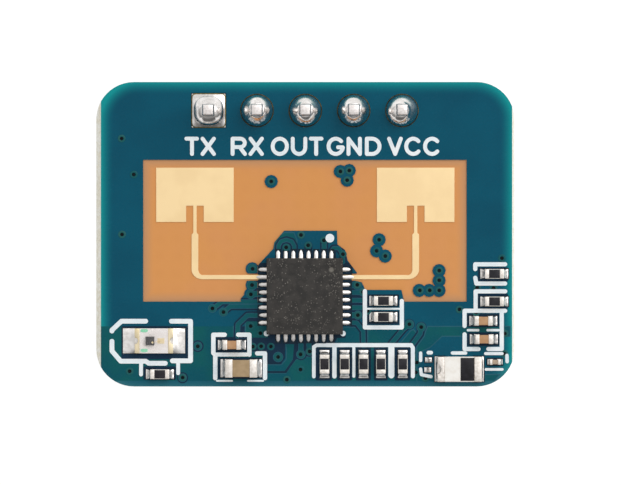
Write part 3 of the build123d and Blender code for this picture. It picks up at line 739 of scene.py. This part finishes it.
# The relief's layers from the lowest up: name, height over the lacquer, and two colours. The
# edge layers are pale painted highlights along the copper's edges.
layers = (
    ("lacquer_over_copper_fill", 0.003, "#07585B", "#00505E"),
    ("painted_highlight_on_fill_edge", 0.005, "#2B6170", "#225868"),
    ("lacquer_over_bare_laminate", 0.007, "#112F47", "#0E2A3D"),
    ("painted_highlight_on_track_edge", 0.009, "#2B6070", "#20566A"),
    ("lacquer_over_track", 0.011, "#0A5A5C", "#07525E"),
)
relief_root, border_corner, highlight_width, mask_lift = 0.002, 0.07, 0.05, 0.03
# How much wider than a track its bare gaps and its painted edge highlights are
gap_margin, highlight_margin = 0.22, 0.06


class RADAR_OT_relief(bpy.types.Operator):
    """Show the tracks and filled copper areas that lie under the lacquer"""

    bl_idname = "radar_module.relief"
    bl_label = "Copper under the lacquer"

    def execute(self, context):
        bottom = mask_top - relief_root * MM
        tops = [mask_top + rise * MM for _, rise, _, _ in layers]
        meshes = [bmesh.new() for _ in layers]
        # rims and edges hold the pale painted highlights along the fills' and the tracks' edges.
        filled, rims, gaps, edges, faces = zip(meshes, tops)

        def add(layer, outline):
            prism(layer[0], outline, bottom, layer[1])

        for outline in fills:
            add(filled, outline)
            for start, end in zip(outline, outline[1:] + outline[:1]):
                if not (start[1] == end[1] == fill_low or start[0] == fill_left):
                    stroke(rims[0], (start, end), highlight_width, bottom, rims[1])
        for outline in bare:
            add(gaps, outline)
        for sides in borders:
            add(gaps, rounded_corners(*sides, border_corner))
        for width, line in tracks:
            for layer, wider in ((gaps, gap_margin), (edges, highlight_margin), (faces, 0)):
                stroke(layer[0], line, width + wider, bottom, layer[1])
        for x, y, ring, land in ringed:
            if ring:
                add(gaps, disc(x, y, ring))
            add(edges, disc(x, y, land + highlight_margin / 2))
            add(faces, disc(x, y, land))
        for mesh, (name, _, first, second) in zip(meshes, layers):
            # Only what lies over the lacquer is kept: its own shape, lifted through the layer.
            mask = node_mesh(["front_mask"])
            bmesh.ops.translate(mask, verts=mask.verts, vec=(0, 0, mask_lift * MM))
            shown = combined(mask, mesh, "INTERSECT")
            place_piece(name, shown, [masked_copper(name, first, second)])
        return {"FINISHED"}


class RADAR_OT_antennas(bpy.types.Operator):
    """Build the two patch antennas with softly etched edges"""

    bl_idname = "radar_module.antennas"
    bl_label = "Antennas"

    def execute(self, context):
        plate_colour = context.scene.radar_module.plate_colour
        plate = gold_plate("gold_over_nickel_plate", plate_colour, "#F3D6A4")
        for name in ("transmit", "receive"):
            rounded_piece(
                name + "_patch", [name + "_antenna"], plate, 0.008, above=25
            )
        return {"FINISHED"}


# Printed frames: a place to count from, and lines with their widths, to where their ink ends
printed_frames = (
    ((-7.95, -5.6), (
        (0.25, ((-0.31, 1.03), (-1.71, 1.03), (-2.21, 0.56), (-2.21, 0.39))),
        (0.25, (
            (-2.21, 0.1), (-2.21, -0.53), (-1.75, -1.07), (-0.43, -1.07), (-0.28, -1.18),
            (0.72, -1.18),
        )),
        (0.25, ((0.84, -1.05), (1.92, -1.05), (1.92, 1.03), (0.79, 1.03))),
        (0.2, ((-0.68, -1.0), (-0.68, -1.87))),
        (0.2, ((1.27, -1.0), (1.27, -1.8))),
    )),
    ((-3.37, -7.04), (
        (0.23, ((-0.75, 1.76), (-1.46, 1.76), (-1.46, 0.8), (-1.36, 0.7), (-1.36, -0.63))),
        (0.23, ((-0.27, 1.76), (0.43, 1.76), (0.43, 0.6))),
        (0.21, ((-1.36, 0.72), (0.4, 0.72))),
        (0.23, ((0.73, 0.78), (1.25, 0.78), (1.25, -0.63))),
        (0.1, ((-1.32, -0.66), (-0.43, -0.66))),
        (0.1, ((0.31, -0.66), (1.2, -0.66))),
    )),
    ((0.0, -6.82), (
        (0.19, ((0.45, -0.75), (0.45, 0.9), (0.6, 0.99), (1.2, 0.99))),
        (0.21, ((1.0, 0.995), (5.56, 0.995), (5.65, 0.85), (5.65, -0.75))),
        (0.23, ((1.53, 1.07), (1.53, -0.76))),
        (0.16, ((2.55, 1.07), (2.55, -0.72))),
        (0.32, ((4.52, 1.07), (4.52, -0.75))),
    )),
    ((4.1, -3.495), (
        (0.22, ((-0.97, 0.62), (-0.97, -1.4), (0.97, -1.4), (0.97, 0.1))),
        (0.1, ((-0.9, -0.42), (0.9, -0.42))),
    )),
    ((9.93, -2.08), (
        (0.22, ((0.68, 0.5), (-1.0, 0.5), (-1.0, 0.14))),
        (0.22, ((-1.02, -0.1), (-0.94, -0.51), (0.68, -0.51))),
        (0.22, ((0.68, -0.92), (-0.98, -0.92), (-0.98, -2.0))),
        (0.22, ((0.68, -1.94), (-1.56, -1.94), (-1.56, -2.85))),
        (0.22, ((-1.56, -3.07), (-1.56, -3.95), (-0.72, -3.95))),
        (0.22, ((0.39, -1.9), (0.39, -3.95), (-0.42, -3.95))),
        (0.13, ((-1.45, -2.96), (-0.78, -2.96))),
        (0.13, ((-0.42, -2.96), (0.3, -2.96))),
    )),
    ((8.09, -7.08), (
        (0.17, ((-2.03, 0.92), (-2.03, 0.36))),
        (0.2, ((-1.72, 0.86), (-1.38, 0.86))),
        (0.17, ((-2.04, 0.08), (-1.99, -0.3), (-1.4, -0.42))),
        (0.18, ((-0.45, 0.84), (0.42, 0.84))),
        (0.16, ((1.3, 0.81), (2.33, 0.81))),
        (0.14, ((1.33, -0.02), (2.33, -0.02))),
        (0.18, ((2.5, 0.8), (2.52, 0.3))),
    )),
)
# Pin labels, letter by letter. They stand between a low and a top line.
low_line, mid_line, top_line = 4.218, 4.62, 5.022
letters = (
    ((-6.25, top_line), (-5.69, top_line)), ((-5.955, top_line), (-5.955, low_line)),
    ((-5.4, top_line), (-4.8, low_line)), ((-4.8, top_line), (-5.4, low_line)),
    ((-3.82, low_line), (-3.82, top_line), *arc(-3.42, 4.8, 0.24, 0.222, 90, -90), (-3.82, 4.58)),
    ((-3.45, 4.58), (-3.17, low_line)),
    ((-2.88, top_line), (-2.28, low_line)), ((-2.28, top_line), (-2.88, low_line)),
    arc(-1.34, mid_line, 0.375, 0.402, 0, 360, 24),
    ((-0.66, top_line), *arc(-0.33, 4.56, 0.33, 0.342, 180, 360, 14), (0.0, top_line)),
    ((0.29, top_line), (0.85, top_line)), ((0.57, top_line), (0.57, low_line)),
    (*arc(1.6, mid_line, 0.38, 0.402, 42, 350, 20), (1.96, 4.57), (1.72, 4.57)),
    ((2.27, low_line), (2.27, top_line), (2.87, low_line), (2.87, top_line)),
    (
        (3.23, low_line), (3.23, top_line), *arc(3.5, mid_line, 0.4, 0.402, 90, -90, 14),
        (3.23, low_line),
    ),
    ((4.4, top_line), (4.72, low_line), (5.02, top_line)),
    arc(5.67, mid_line, 0.37, 0.402, 42, 318, 18),
    arc(6.66, mid_line, 0.37, 0.402, 42, 318, 18),
)
printed_spots = ((-2.04, -5.215, 0.145), (1.98, -5.215, 0.145))
lead_mark = (1.29, -0.205, 0.23)
ink_root = 0.004


class RADAR_OT_legend(bpy.types.Operator):
    """Print the frames round the parts and the pin labels"""

    bl_idname = "radar_module.legend"
    bl_label = "Printed legend"

    def execute(self, context):
        look = context.scene.radar_module
        bottom, top = mask_top - ink_root * MM, mask_top + look.ink_height
        ink, mark = bmesh.new(), bmesh.new()
        for (x, y), lines in printed_frames:
            for width, line in lines:
                line = trimmed([(x + px, y + py) for px, py in line], width / 2)
                stroke(ink, line, width, bottom, top)
        for line in letters:
            stroke(ink, line, look.stroke_width, bottom, top)
        for spot in printed_spots:
            prism(ink, disc(*spot), bottom, top)
        prism(mark, disc(*lead_mark), bottom, top)
        printed = combined(ink, mark, "UNION")
        place_piece("printed_legend", printed, [screen_ink()], ["legend"])
        return {"FINISHED"}


# Soldering leaves a pin's upper end blunter than its free one: by this share, and this near it
blunter, tip_zone = 0.55, 0.01


class RADAR_OT_header(bpy.types.Operator):
    """Build the header's plastic strip and its five pins"""

    bl_idname = "radar_module.header"
    bl_label = "Pin header"

    def execute(self, context):
        rounded_piece(
            "header_strip", ["header_housing"], moulded_nylon(), 0.09, 3
        )
        plate = pin_plate()
        for number in range(1, 6):
            node = f"header_pin_{number}"
            low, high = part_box(node)
            axis = (low + high) / 2
            mesh = node_mesh([node])
            for vert in mesh.verts:
                if vert.co.z > high.z - tip_zone * MM:
                    vert.co.x += (vert.co.x - axis.x) * blunter
                    vert.co.y += (vert.co.y - axis.y) * blunter
            edges = [e for e in mesh.edges if e.calc_face_angle(0) > math.radians(15)]
            break_edges(mesh, edges, 0.04, 3, clamped=False)
            place_piece(f"pin_{number}", mesh, [plate], [node])
        return {"FINISHED"}


# Rows of a mound: the share of the way in from its foot to its neck, and the share of its climb
mound_rows = (
    (-0.1, 0.0), (-0.02, 0.01), (0.0, 0.029), (0.03, 0.106), (0.069, 0.197), (0.129, 0.304),
    (0.208, 0.41), (0.287, 0.507), (0.386, 0.605), (0.485, 0.692), (0.564, 0.753), (0.644, 0.809),
    (0.762, 0.885), (0.881, 0.95), (1.0, 1.0), (1.08, 1.003), (1.18, 0.975),
)
# Each joint: its foot, its share of the CAD joint's climb, and which way its mound leans
mounds = (
    (0.85, 0.31, (0.2, -0.9)), (0.845, 0.68, (0.3, 0.2)), (0.845, 0.65, (0.2, -0.9)),
    (0.845, 0.7, (0.0, 0.1)), (0.845, 0.64, (-1.6, -1.0)),
)
mound_neck, mound_steps, lean_size = 0.34, 80, 2
# How much squarer a mound is by its pin, and from which share of the way in
pin_squareness, pin_share = 1.5, 0.6
# The same by the square land, up to which share of the way in, and how much of it stays above
land_squareness, land_share, ball_squareness = 9, 0.03, 0.5
# The ball that the first joint is part of: its slope at the foot, and how far in it stands
ball_slope, ball_inset, ball_start = math.radians(50), 0.045, 0.01


class RADAR_OT_joints(bpy.types.Operator):
    """Build the five solder joints, each a mound that climbs its pin"""

    bl_idname = "radar_module.joints"
    bl_label = "Solder joints"

    def execute(self, context):
        uneven = context.scene.radar_module.joint_unevenness * MM
        solder = reflowed_solder("mounded_solder", (0.17, 0.0025, 0.12, 0.26))
        rim = reflowed_solder(
            "browned_land_rim", (0.25, 0.006, 0.4, 0.6), ("#8C7A50", "#5E5D48")
        )
        dress("header_lands", reflowed_solder("tinned_land", (0.25, 0.006, 0.3, 0.5)))
        turns = [2 * math.pi * i / mound_steps for i in range(mound_steps)]
        for number, (foot, share_up, lean) in enumerate(mounds, 1):
            low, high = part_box(f"solder_joint_{number}")
            axis = (low + high) / 2
            square = number == 1
            foot, neck, climb = foot * MM, mound_neck * MM, (high.z - land_top) * share_up
            mesh, loops = bmesh.new(), []
            for inward, rise in mound_rows:
                reach = foot + (neck - foot) * inward
                share = min(1, max(0, inward))
                swell = math.sin(math.pi * share) * uneven
                x, y = (axis[i] + lean[i] * swell * lean_size for i in (0, 1))
                # A power of 2 gives a circle, and higher ones a squarer outline.
                power = 2 + pin_squareness * max(0, share - pin_share)
                if square:
                    power += land_squareness * max(0, land_share - share) / land_share
                    power += ball_squareness * (1 - share)
                if square and inward > ball_start:
                    # The first joint found more land to wet, and lies as part of a ball.
                    ball = foot / math.sin(ball_slope)
                    levels = [
                        math.sqrt(ball ** 2 - r ** 2) - ball * math.cos(ball_slope)
                        for r in (reach, neck)
                    ]
                    rise = levels[0] / levels[1]
                    reach -= ball_inset * MM * (1 - share)
                loop = []
                for c, s in ((math.cos(turn), math.sin(turn)) for turn in turns):
                    stray = noise.noise(Vector((c * 0.9, s * 0.9, rise + number * 7.1)))
                    radius = reach * (abs(c) ** power + abs(s) ** power) ** (-1 / power)
                    radius += stray * swell
                    loop.append(mesh.verts.new(
                        (x + radius * c, y + radius * s, land_top + climb * rise)
                    ))
                loops.append(loop)
            for face in skin(mesh, loops)[:2 * mound_steps]:
                face.material_index = 1
            place_piece(
                f"joint_{number}", mesh, [solder, rim], [f"solder_joint_{number}"],
                smooth_below=80,
            )
        return {"FINISHED"}


# The chip's leads: their pitch and number at each side, and which of them feed the antennas
lead_pitch, side_leads, feed_leads = 0.4, 8, ((90, 6), (270, 1))
# Their solder: its reach at a lead and at an antenna's, how far that varies, half its width, how
# far that strays, its height at the far end and how much more by the chip, and its overlap there
toe_reach, feed_reach, reach_spread, toe_half, toe_stray = 0.42, 0.58, 0.02, 0.112, 0.16
toe_height, toe_rise, toe_overlap = 0.04, 0.07, 0.01


class RADAR_OT_chip(bpy.types.Operator):
    """Build the radar chip and the solder toes at its leads"""

    bl_idname = "radar_module.chip"
    bl_label = "Radar chip"

    def execute(self, context):
        rounded_piece(
            "chip_moulding", ["chip_body"], moulding_compound(), 0.015, above=30
        )
        tin = tin_plate()
        dress("chip_leads", tin)
        dress("chip_paddle", tin)
        toes = bmesh.new()
        middle = (chip_low + chip_high) / 2
        middle.z = window_top
        edge = (chip_high.x - chip_low.x) / 2 - toe_overlap * MM
        lift = land_top - window_top
        arch = [math.pi * m / 10 for m in range(11)]
        for turn in (0, 90, 180, 270):
            spin = Matrix.Rotation(math.radians(turn), 3, "Z")
            for step in range(side_leads):
                offset = lead_pitch * MM * (step - (side_leads - 1) / 2)
                length = feed_reach if (turn, step) in feed_leads else toe_reach
                length = (length + reach_spread * math.sin(turn + step * 2.6)) * MM
                loops = []
                for s in (k / 12 for k in range(13)):
                    ending = math.sqrt(max(0.03, 1 - max(0, (s - 0.45) / 0.55) ** 2.2))
                    stray = toe_stray * noise.noise(Vector((turn + step * 1.7, s * 2, 0)))
                    half = toe_half * MM * ending * (1 + stray)
                    tall = lift + (toe_height + toe_rise * (1 - s) ** 1.5) * ending * MM
                    loops.append([
                        toes.verts.new(middle + spin @ Vector((
                            offset - half * math.cos(a), edge + length * s,
                            tall * math.sin(a) ** 0.35,
                        ))) for a in arch
                    ])
                skin(toes, loops)
        left, low, right, high = footprint("chip_paddle")
        under = ((left, low), (right, low), (right, high), (left, high))
        prism(toes, under, window_top, part_seat)
        place_piece(
            "lead_solder", toes, [reflowed_solder("bright_toe_solder", (0.12, 0.002, 0.35, 0.5))],
            ["chip_solder", "chip_lands"], smooth_below=50,
        )
        return {"FINISHED"}


class RADAR_OT_resistors(bpy.types.Operator):
    """Build the ten chip resistors with their glazes and end caps"""

    bl_idname = "radar_module.resistors"
    bl_label = "Chip resistors"

    def execute(self, context):
        radius = context.scene.radar_module.edge_radius
        blocks = [f"resistor_{n}" for n in range(1, 11)]
        alumina = fired_body("fired_alumina", "#F0EEE8", "#E2DED4")
        glaze = fired_body("black_overglaze", "#212025", "#2B2A2F", (0.3, 0.5))
        rounded_piece("resistor_blocks", blocks, alumina, radius * 0.5)
        rounded_piece("resistor_coats", ["resistor_glazes"], glaze, radius * 0.5)
        rounded_piece(
            "resistor_ends", ["resistor_terminals"], tin_plate(), radius, 3
        )
        return {"FINISHED"}


class RADAR_OT_capacitors(bpy.types.Operator):
    """Build the ceramic capacitors with their end caps"""

    bl_idname = "radar_module.capacitors"
    bl_label = "Chip capacitors"

    def execute(self, context):
        radius = context.scene.radar_module.edge_radius
        tan = ["capacitor_1", "capacitor_2", "capacitor_3"]
        for name, nodes, slot, first, second in (
            ("capacitor_blocks", tan, "tan_ceramic", "#C39A74", "#B98D66"),
            ("bulk_capacitor_block", ["bulk_capacitor"], "olive_ceramic", "#B19876", "#A58D6B"),
            ("small_capacitor_block", ["small_capacitor"], "grey_ceramic", "#B9A48F", "#A8937F"),
        ):
            ceramic = fired_body("fired_" + slot, first, second)
            rounded_piece(name, nodes, ceramic, radius * 0.8)
        rounded_piece(
            "capacitor_ends", ["capacitor_terminals"], tin_plate(), radius * 1.2, 3,
            above=30,
        )
        return {"FINISHED"}


# On the light sensor's carrier: green marks, the bond wire's pad, and the wire's two ends
mark_places, mark_half, mark_height = ((-8.46, -5.06), (-8.46, -6.1)), (0.19, 0.085), 0.02
bond_pad = ((-7.76, -5.74), (-7.4, -5.74), (-7.4, -5.46), (-7.76, -5.46))
bond_start, bond_end = (-8.02, -5.68), (-7.6, -5.6)
pad_height, wire_radius, wire_rise, ball_radius, ball_height = 0.012, 0.013, 0.16, 0.055, 0.02
cover_gap, cover_corner, cover_rim = 0.004, 0.06, 0.05


class RADAR_OT_light_sensor(bpy.types.Operator):
    """Build the light sensor with its die, bond wire and clear cover"""

    bl_idname = "radar_module.light_sensor"
    bl_label = "Light sensor"

    def execute(self, context):
        carrier = fired_body("white_carrier_laminate", "#F7F1EF", "#EFE8E4", (0.4, 0.55))
        ends = gold_plate("flux_dulled_gold_plate", "#EADBBA", "#DECDA4")
        silicon = fired_body("sawn_silicon", "#2C2C2E", "#3C3C3F", (0.2, 0.35))
        rounded_piece("sensor_carrier", ["light_sensor_base"], carrier, 0.02)
        rounded_piece("sensor_ends", ["light_sensor_terminals"], ends, 0.025, 3)
        rounded_piece("sensor_die", ["light_sensor_die"], silicon, 0.01)
        base_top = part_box("light_sensor_base")[1].z
        die_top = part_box("light_sensor_die")[1].z
        self.cover(base_top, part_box("light_sensor_cover")[1].z)
        marks = bmesh.new()
        for x, y in mark_places:
            outline = [
                (x + mark_half[0] * math.copysign(abs(c) ** 0.6, c),
                 y + mark_half[1] * math.copysign(abs(s) ** 0.6, s))
                for c, s in disc(0, 0, 1, 24)
            ]
            prism(marks, outline, base_top, base_top + mark_height * MM)
        green = fired_body("green_stamp_ink", "#86DDB0", "#9BE3BE", (0.5, 0.6))
        place_piece("sensor_marks", marks, [green])
        self.bond(base_top, die_top)
        return {"FINISHED"}

    def cover(self, base_top, top):
        """A clear block over the die, just clear of the carrier, with a rounded rim."""
        mesh = bmesh.new()
        outline = rounded_corners(*footprint("light_sensor_cover"), cover_corner)
        prism(mesh, outline, base_top + cover_gap * MM, top)
        rim = [e for e in mesh.edges if all(v.co.z > top - 0.001 * MM for v in e.verts)]
        break_edges(mesh, rim, cover_rim, 3, clamped=False)
        place_piece("sensor_cover", mesh, [clear_epoxy()], ["light_sensor_cover"])

    def bond(self, base_top, die_top):
        """The bond wire rises from the die, bends over and lands on its pad."""
        mesh = bmesh.new()
        pad_top = base_top + pad_height * MM
        prism(mesh, bond_pad, base_top, pad_top)
        start, end = Vector(at(*bond_start, die_top)), Vector(at(*bond_end, pad_top))
        run = end - start
        side, up = Vector((-run.y, run.x, 0)).normalized(), Vector((0, 0, 1))
        loops = []
        for t in (i / 14 for i in range(15)):
            point = start.lerp(end, t) + up * wire_rise * MM * math.sin(math.pi * t) ** 0.8
            loops.append([
                mesh.verts.new(point + wire_radius * MM * (side * math.cos(a) + up * math.sin(a)))
                for a in (math.pi / 3 * k for k in range(6))
            ])
        skin(mesh, loops)
        ball = disc(*bond_start, ball_radius, 16)
        prism(mesh, ball, die_top, die_top + ball_height * MM)
        gold = gold_plate("bonding_gold", "#EBD9B4", "#E2CD9F")
        place_piece("sensor_bond", mesh, [gold])


class RADAR_OT_diode(bpy.types.Operator):
    """Build the chip diode with its band and metal ends"""

    bl_idname = "radar_module.diode"
    bl_label = "Chip diode"

    def execute(self, context):
        white = fired_body("moulded_white_epoxy", "#FCF9F3", "#F5F0E8", (0.35, 0.5))
        black = fired_body("printed_black_band", "#19181C", "#242328", (0.4, 0.6))
        rounded_piece("diode_moulding", ["diode_body"], white, 0.02, above=30)
        rounded_piece("diode_stripe", ["diode_band"], black, 0.008)
        rounded_piece("diode_ends", ["diode_terminals"], tin_plate(), 0.04, 3)
        return {"FINISHED"}


# Parts with solder at their ends: nodes, the plating past their ends and sides, how far the
# solder reaches past that, and its share of the full climb
soldered = (
    ([f"resistor_{n}" for n in range(1, 11)], 0.03, 0.0, 0.23, 1),
    ([f"capacitor_{n}" for n in range(1, 4)], 0.03, 0.03, 0.23, 1),
    (["bulk_capacitor"], 0.03, 0.03, 0.22, 1),
    (["small_capacitor"], 0.03, 0.03, 0.09, 1),
    (["light_sensor_terminals"], 0.0, 0.0, 0.62, 0.5),
    (["diode_terminals"], 0.0, 0.0, 0.12, 1),
)
spare_lands = ((6.47, -6.6), (6.43, -7.13))
# Half the length and width of what such a land holds, and its solder's reach and climb
spare_sizes = (0.01, 0.12, 0.16, 0.07)
# Solder's steepest climb over its reach, its highest share of a part, how far it goes under one,
# how much it narrows by its far end, its lumps and its least height
climb_slope, climb_share, under_reach, narrowing = 1.2, 0.62, 0.18, 0.12
lump_height, least = 0.012, 0.004


class RADAR_OT_fillets(bpy.types.Operator):
    """Build the solder that wets the ends of the chip parts"""

    bl_idname = "radar_module.fillets"
    bl_label = "Solder fillets"

    def execute(self, context):
        land = reflowed_solder("tinned_part_land", (0.15, 0.004, 0.28, 0.5))
        dress("component_lands", land)
        mesh = bmesh.new()
        for nodes, end_plate, side_plate, reach, share_up in soldered:
            for low, high in map(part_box, nodes):
                size = high - low
                climb = min(climb_share * (high.z - part_seat), climb_slope * reach * MM) * share_up
                self.end_fillets(
                    mesh, (low + high) / 2, size.x > size.y,
                    max(size.x, size.y) / 2 + end_plate * MM,
                    min(size.x, size.y) / 2 + side_plate * MM, reach * MM, climb,
                )
        for x, y in spare_lands:
            self.end_fillets(mesh, Vector(at(x, y, 0)), True, *(size * MM for size in spare_sizes))
        solder = reflowed_solder("wetted_end_solder", (0.16, 0.004, 0.2, 0.45))
        place_piece("end_solder", mesh, [solder], ["solder_fillets"], smooth_below=50)
        return {"FINISHED"}

    def end_fillets(self, mesh, middle, lengthwise, half_long, half_wide, reach, climb):
        """Solder at both ends: flat under the part, then a hollow slope to the land's edge."""
        film = part_seat - land_top
        under = [-under_reach * MM, -0.002 * MM]
        for side in (-1, 1):
            loops = []
            for v in under + [reach * (i / 9) ** 1.3 for i in range(10)]:
                narrowed = 1.0 if v < 0 else 1 - narrowing * max(0, v / reach - 0.6) / 0.4
                tops = []
                for u in (-1 + m / 6 for m in range(13)):
                    height = film * (0.9 if abs(u) < 0.95 else 0.5)
                    if v >= 0:
                        height += climb * (1 - v / reach) ** 2 * (1 - abs(u) ** 5 * 0.85)
                    if v > 0:
                        lump = Vector((middle.x / MM + u * 2, middle.y / MM + v / MM * 6, side))
                        height += lump_height * MM * noise.noise(lump)
                    along, across = side * (half_long + v), u * half_wide * narrowed
                    x, y = (along, across) if lengthwise else (across, along)
                    level = land_top + max(height, least * MM)
                    tops.append((middle.x + x, middle.y + y, level))
                feet = [(x, y, land_top) for x, y, _ in tops[::-1]]
                loops.append([mesh.verts.new(point) for point in tops + feet])
            skin(mesh, loops)


floor_size, floor_flat, floor_curl = 1.2, 0.9, 1.5
softbox_place, softbox_target = (0.24, 0.22, 0.34), (0, -0.0065, 0)
# The photograph's frame lies a little to the right of the board's middle and below it
view_offset = (0.273, -0.434)


class RADAR_OT_stage(bpy.types.Operator):
    """Set the pale floor, the soft light and the camera straight above the board"""

    bl_idname = "radar_module.stage"
    bl_label = "Stage"

    def execute(self, context):
        scene, stage = context.scene, context.scene.radar_stage
        self.floor(scene, cad_box[0].z - stage.floor_drop)
        scene.world = self.room(stage.ambient)

        light = bpy.data.lights.new("softbox", "AREA")
        light.shape, light.size, light.energy = "SQUARE", stage.softbox_size, stage.softbox_power
        box = bpy.data.objects.new("softbox", light)
        box.location = softbox_place
        box.rotation_mode = "QUATERNION"
        toward = Vector(softbox_place) - Vector(softbox_target)
        box.rotation_quaternion = toward.to_track_quat("Z", "Y")
        scene.collection.objects.link(box)

        camera = bpy.data.cameras.new("camera")
        camera.lens = camera.sensor_width * stage.camera_height / stage.view_width
        camera.clip_start, camera.clip_end = 0.01, 10
        scene.camera = bpy.data.objects.new("camera", camera)
        scene.camera.location = at(*view_offset, mask_top + stage.camera_height)
        scene.collection.objects.link(scene.camera)
        scene.view_settings.view_transform = "Standard"
        return {"FINISHED"}

    def floor(self, scene, level):
        """White paper that curls up far from the board. Seen and mirrored, it is lifted to white
        and keeps a soft shadow."""
        mesh = bmesh.new()
        bmesh.ops.create_grid(mesh, x_segments=24, y_segments=24, size=floor_size)
        for vert in mesh.verts:
            vert.co.z = level + max(0.0, vert.co.length - floor_flat) ** 2 * floor_curl
        data = bpy.data.meshes.new("floor")
        mesh.to_mesh(data)
        mesh.free()
        data.shade_smooth()
        floor = bpy.data.objects.new("floor", data)
        scene.collection.objects.link(floor)
        paper, tree, shader, _ = new_finish("white_paper", Roughness=0.9)
        shader.inputs["Base Color"].default_value = linear("#F2F2F2")
        rays = add_node(tree, "LightPath").node.outputs
        seen = rays["Is Camera Ray"]
        for kind in ("Is Glossy Ray", "Is Transmission Ray"):
            seen = add_node(tree, "Math", {0: seen, 1: rays[kind]}, operation="MAXIMUM")
        share = add_node(tree, "Math", {0: seen, 1: 0.8}, operation="MULTIPLY")
        glow = add_node(tree, "Emission", {"Color": (1, 1, 1, 1), "Strength": 1.15})
        mix = add_node(tree, "MixShader", {0: share, 1: shader.outputs[0], 2: glow})
        tree.links.new(mix, tree.nodes["Material Output"].inputs["Surface"])
        data.materials.append(paper)

    def room(self, ambient):
        """Even light. Metals mirror a room that is bright above, behind the header and at both
        sides, and darker in front."""
        world = bpy.data.worlds.new("even_light")
        world.use_nodes = True
        tree = world.node_tree
        rays = add_node(tree, "LightPath").node.outputs
        heading = add_node(tree, "TexCoord", output="Generated")
        x, y, z = add_node(tree, "SeparateXYZ", {0: heading}).node.outputs
        sideways = add_node(tree, "Math", {0: x}, operation="ABSOLUTE")
        evened = add_node(tree, "CombineXYZ", {0: sideways, 1: y, 2: z})
        bright = (0.13, 0.5, 0.76)
        toward = add_node(tree, "VectorMath", {0: evened, 1: bright}, operation="DOT_PRODUCT")
        mirrored = add_node(
            tree, "MapRange",
            {"Value": toward, "From Min": 0.05, "From Max": 0.8, "To Min": 0.13, "To Max": 0.88},
            interpolation_type="SMOOTHSTEP",
        )
        lit = add_node(tree, "Mix", {"Factor": rays["Is Glossy Ray"], "A": ambient, "B": mirrored})
        ends = {0: rays["Is Camera Ray"], 1: rays["Is Transmission Ray"]}
        seen = add_node(tree, "Math", ends, operation="MAXIMUM")
        strength = add_node(tree, "Mix", {"Factor": seen, "A": lit, "B": 1.0})
        background = tree.nodes["Background"]
        background.inputs["Color"].default_value = (1, 1, 1, 1)
        tree.links.new(strength, background.inputs["Strength"])
        return world


class RADAR_PT_panel(bpy.types.Panel):
    """Lists the steps that dress the board"""

    bl_idname = "RADAR_PT_panel"
    bl_label = "Radar Module"
    bl_space_type = "VIEW_3D"
    bl_region_type = "UI"
    bl_category = "Radar Module"

    def draw(self, context):
        column = self.layout.column(align=True)
        for step in steps_in_order:
            column.operator(step.bl_idname)
        for name, group in (("radar_module", RadarModuleLook), ("radar_stage", RadarModuleStage)):
            box = self.layout.box()
            for key in group.__annotations__:
                box.prop(getattr(context.scene, name), key)


steps_in_order = (
    RADAR_OT_board, RADAR_OT_relief, RADAR_OT_antennas, RADAR_OT_legend, RADAR_OT_header,
    RADAR_OT_joints, RADAR_OT_chip, RADAR_OT_resistors, RADAR_OT_capacitors,
    RADAR_OT_light_sensor, RADAR_OT_diode, RADAR_OT_fillets, RADAR_OT_stage,
)
classes = (RadarModuleLook, RadarModuleStage, *steps_in_order, RADAR_PT_panel)


def register():
    for cls in classes:
        bpy.utils.register_class(cls)
    bpy.types.Scene.radar_module = PointerProperty(type=RadarModuleLook)
    bpy.types.Scene.radar_stage = PointerProperty(type=RadarModuleStage)


def unregister():
    del bpy.types.Scene.radar_stage
    del bpy.types.Scene.radar_module
    for cls in reversed(classes):
        bpy.utils.unregister_class(cls)


def main():
    """Dress the board step by step."""
    register()
    for step in steps_in_order:
        group, name = step.bl_idname.split(".")
        getattr(getattr(bpy.ops, group), name)()


if __name__ == "__main__":
    main()
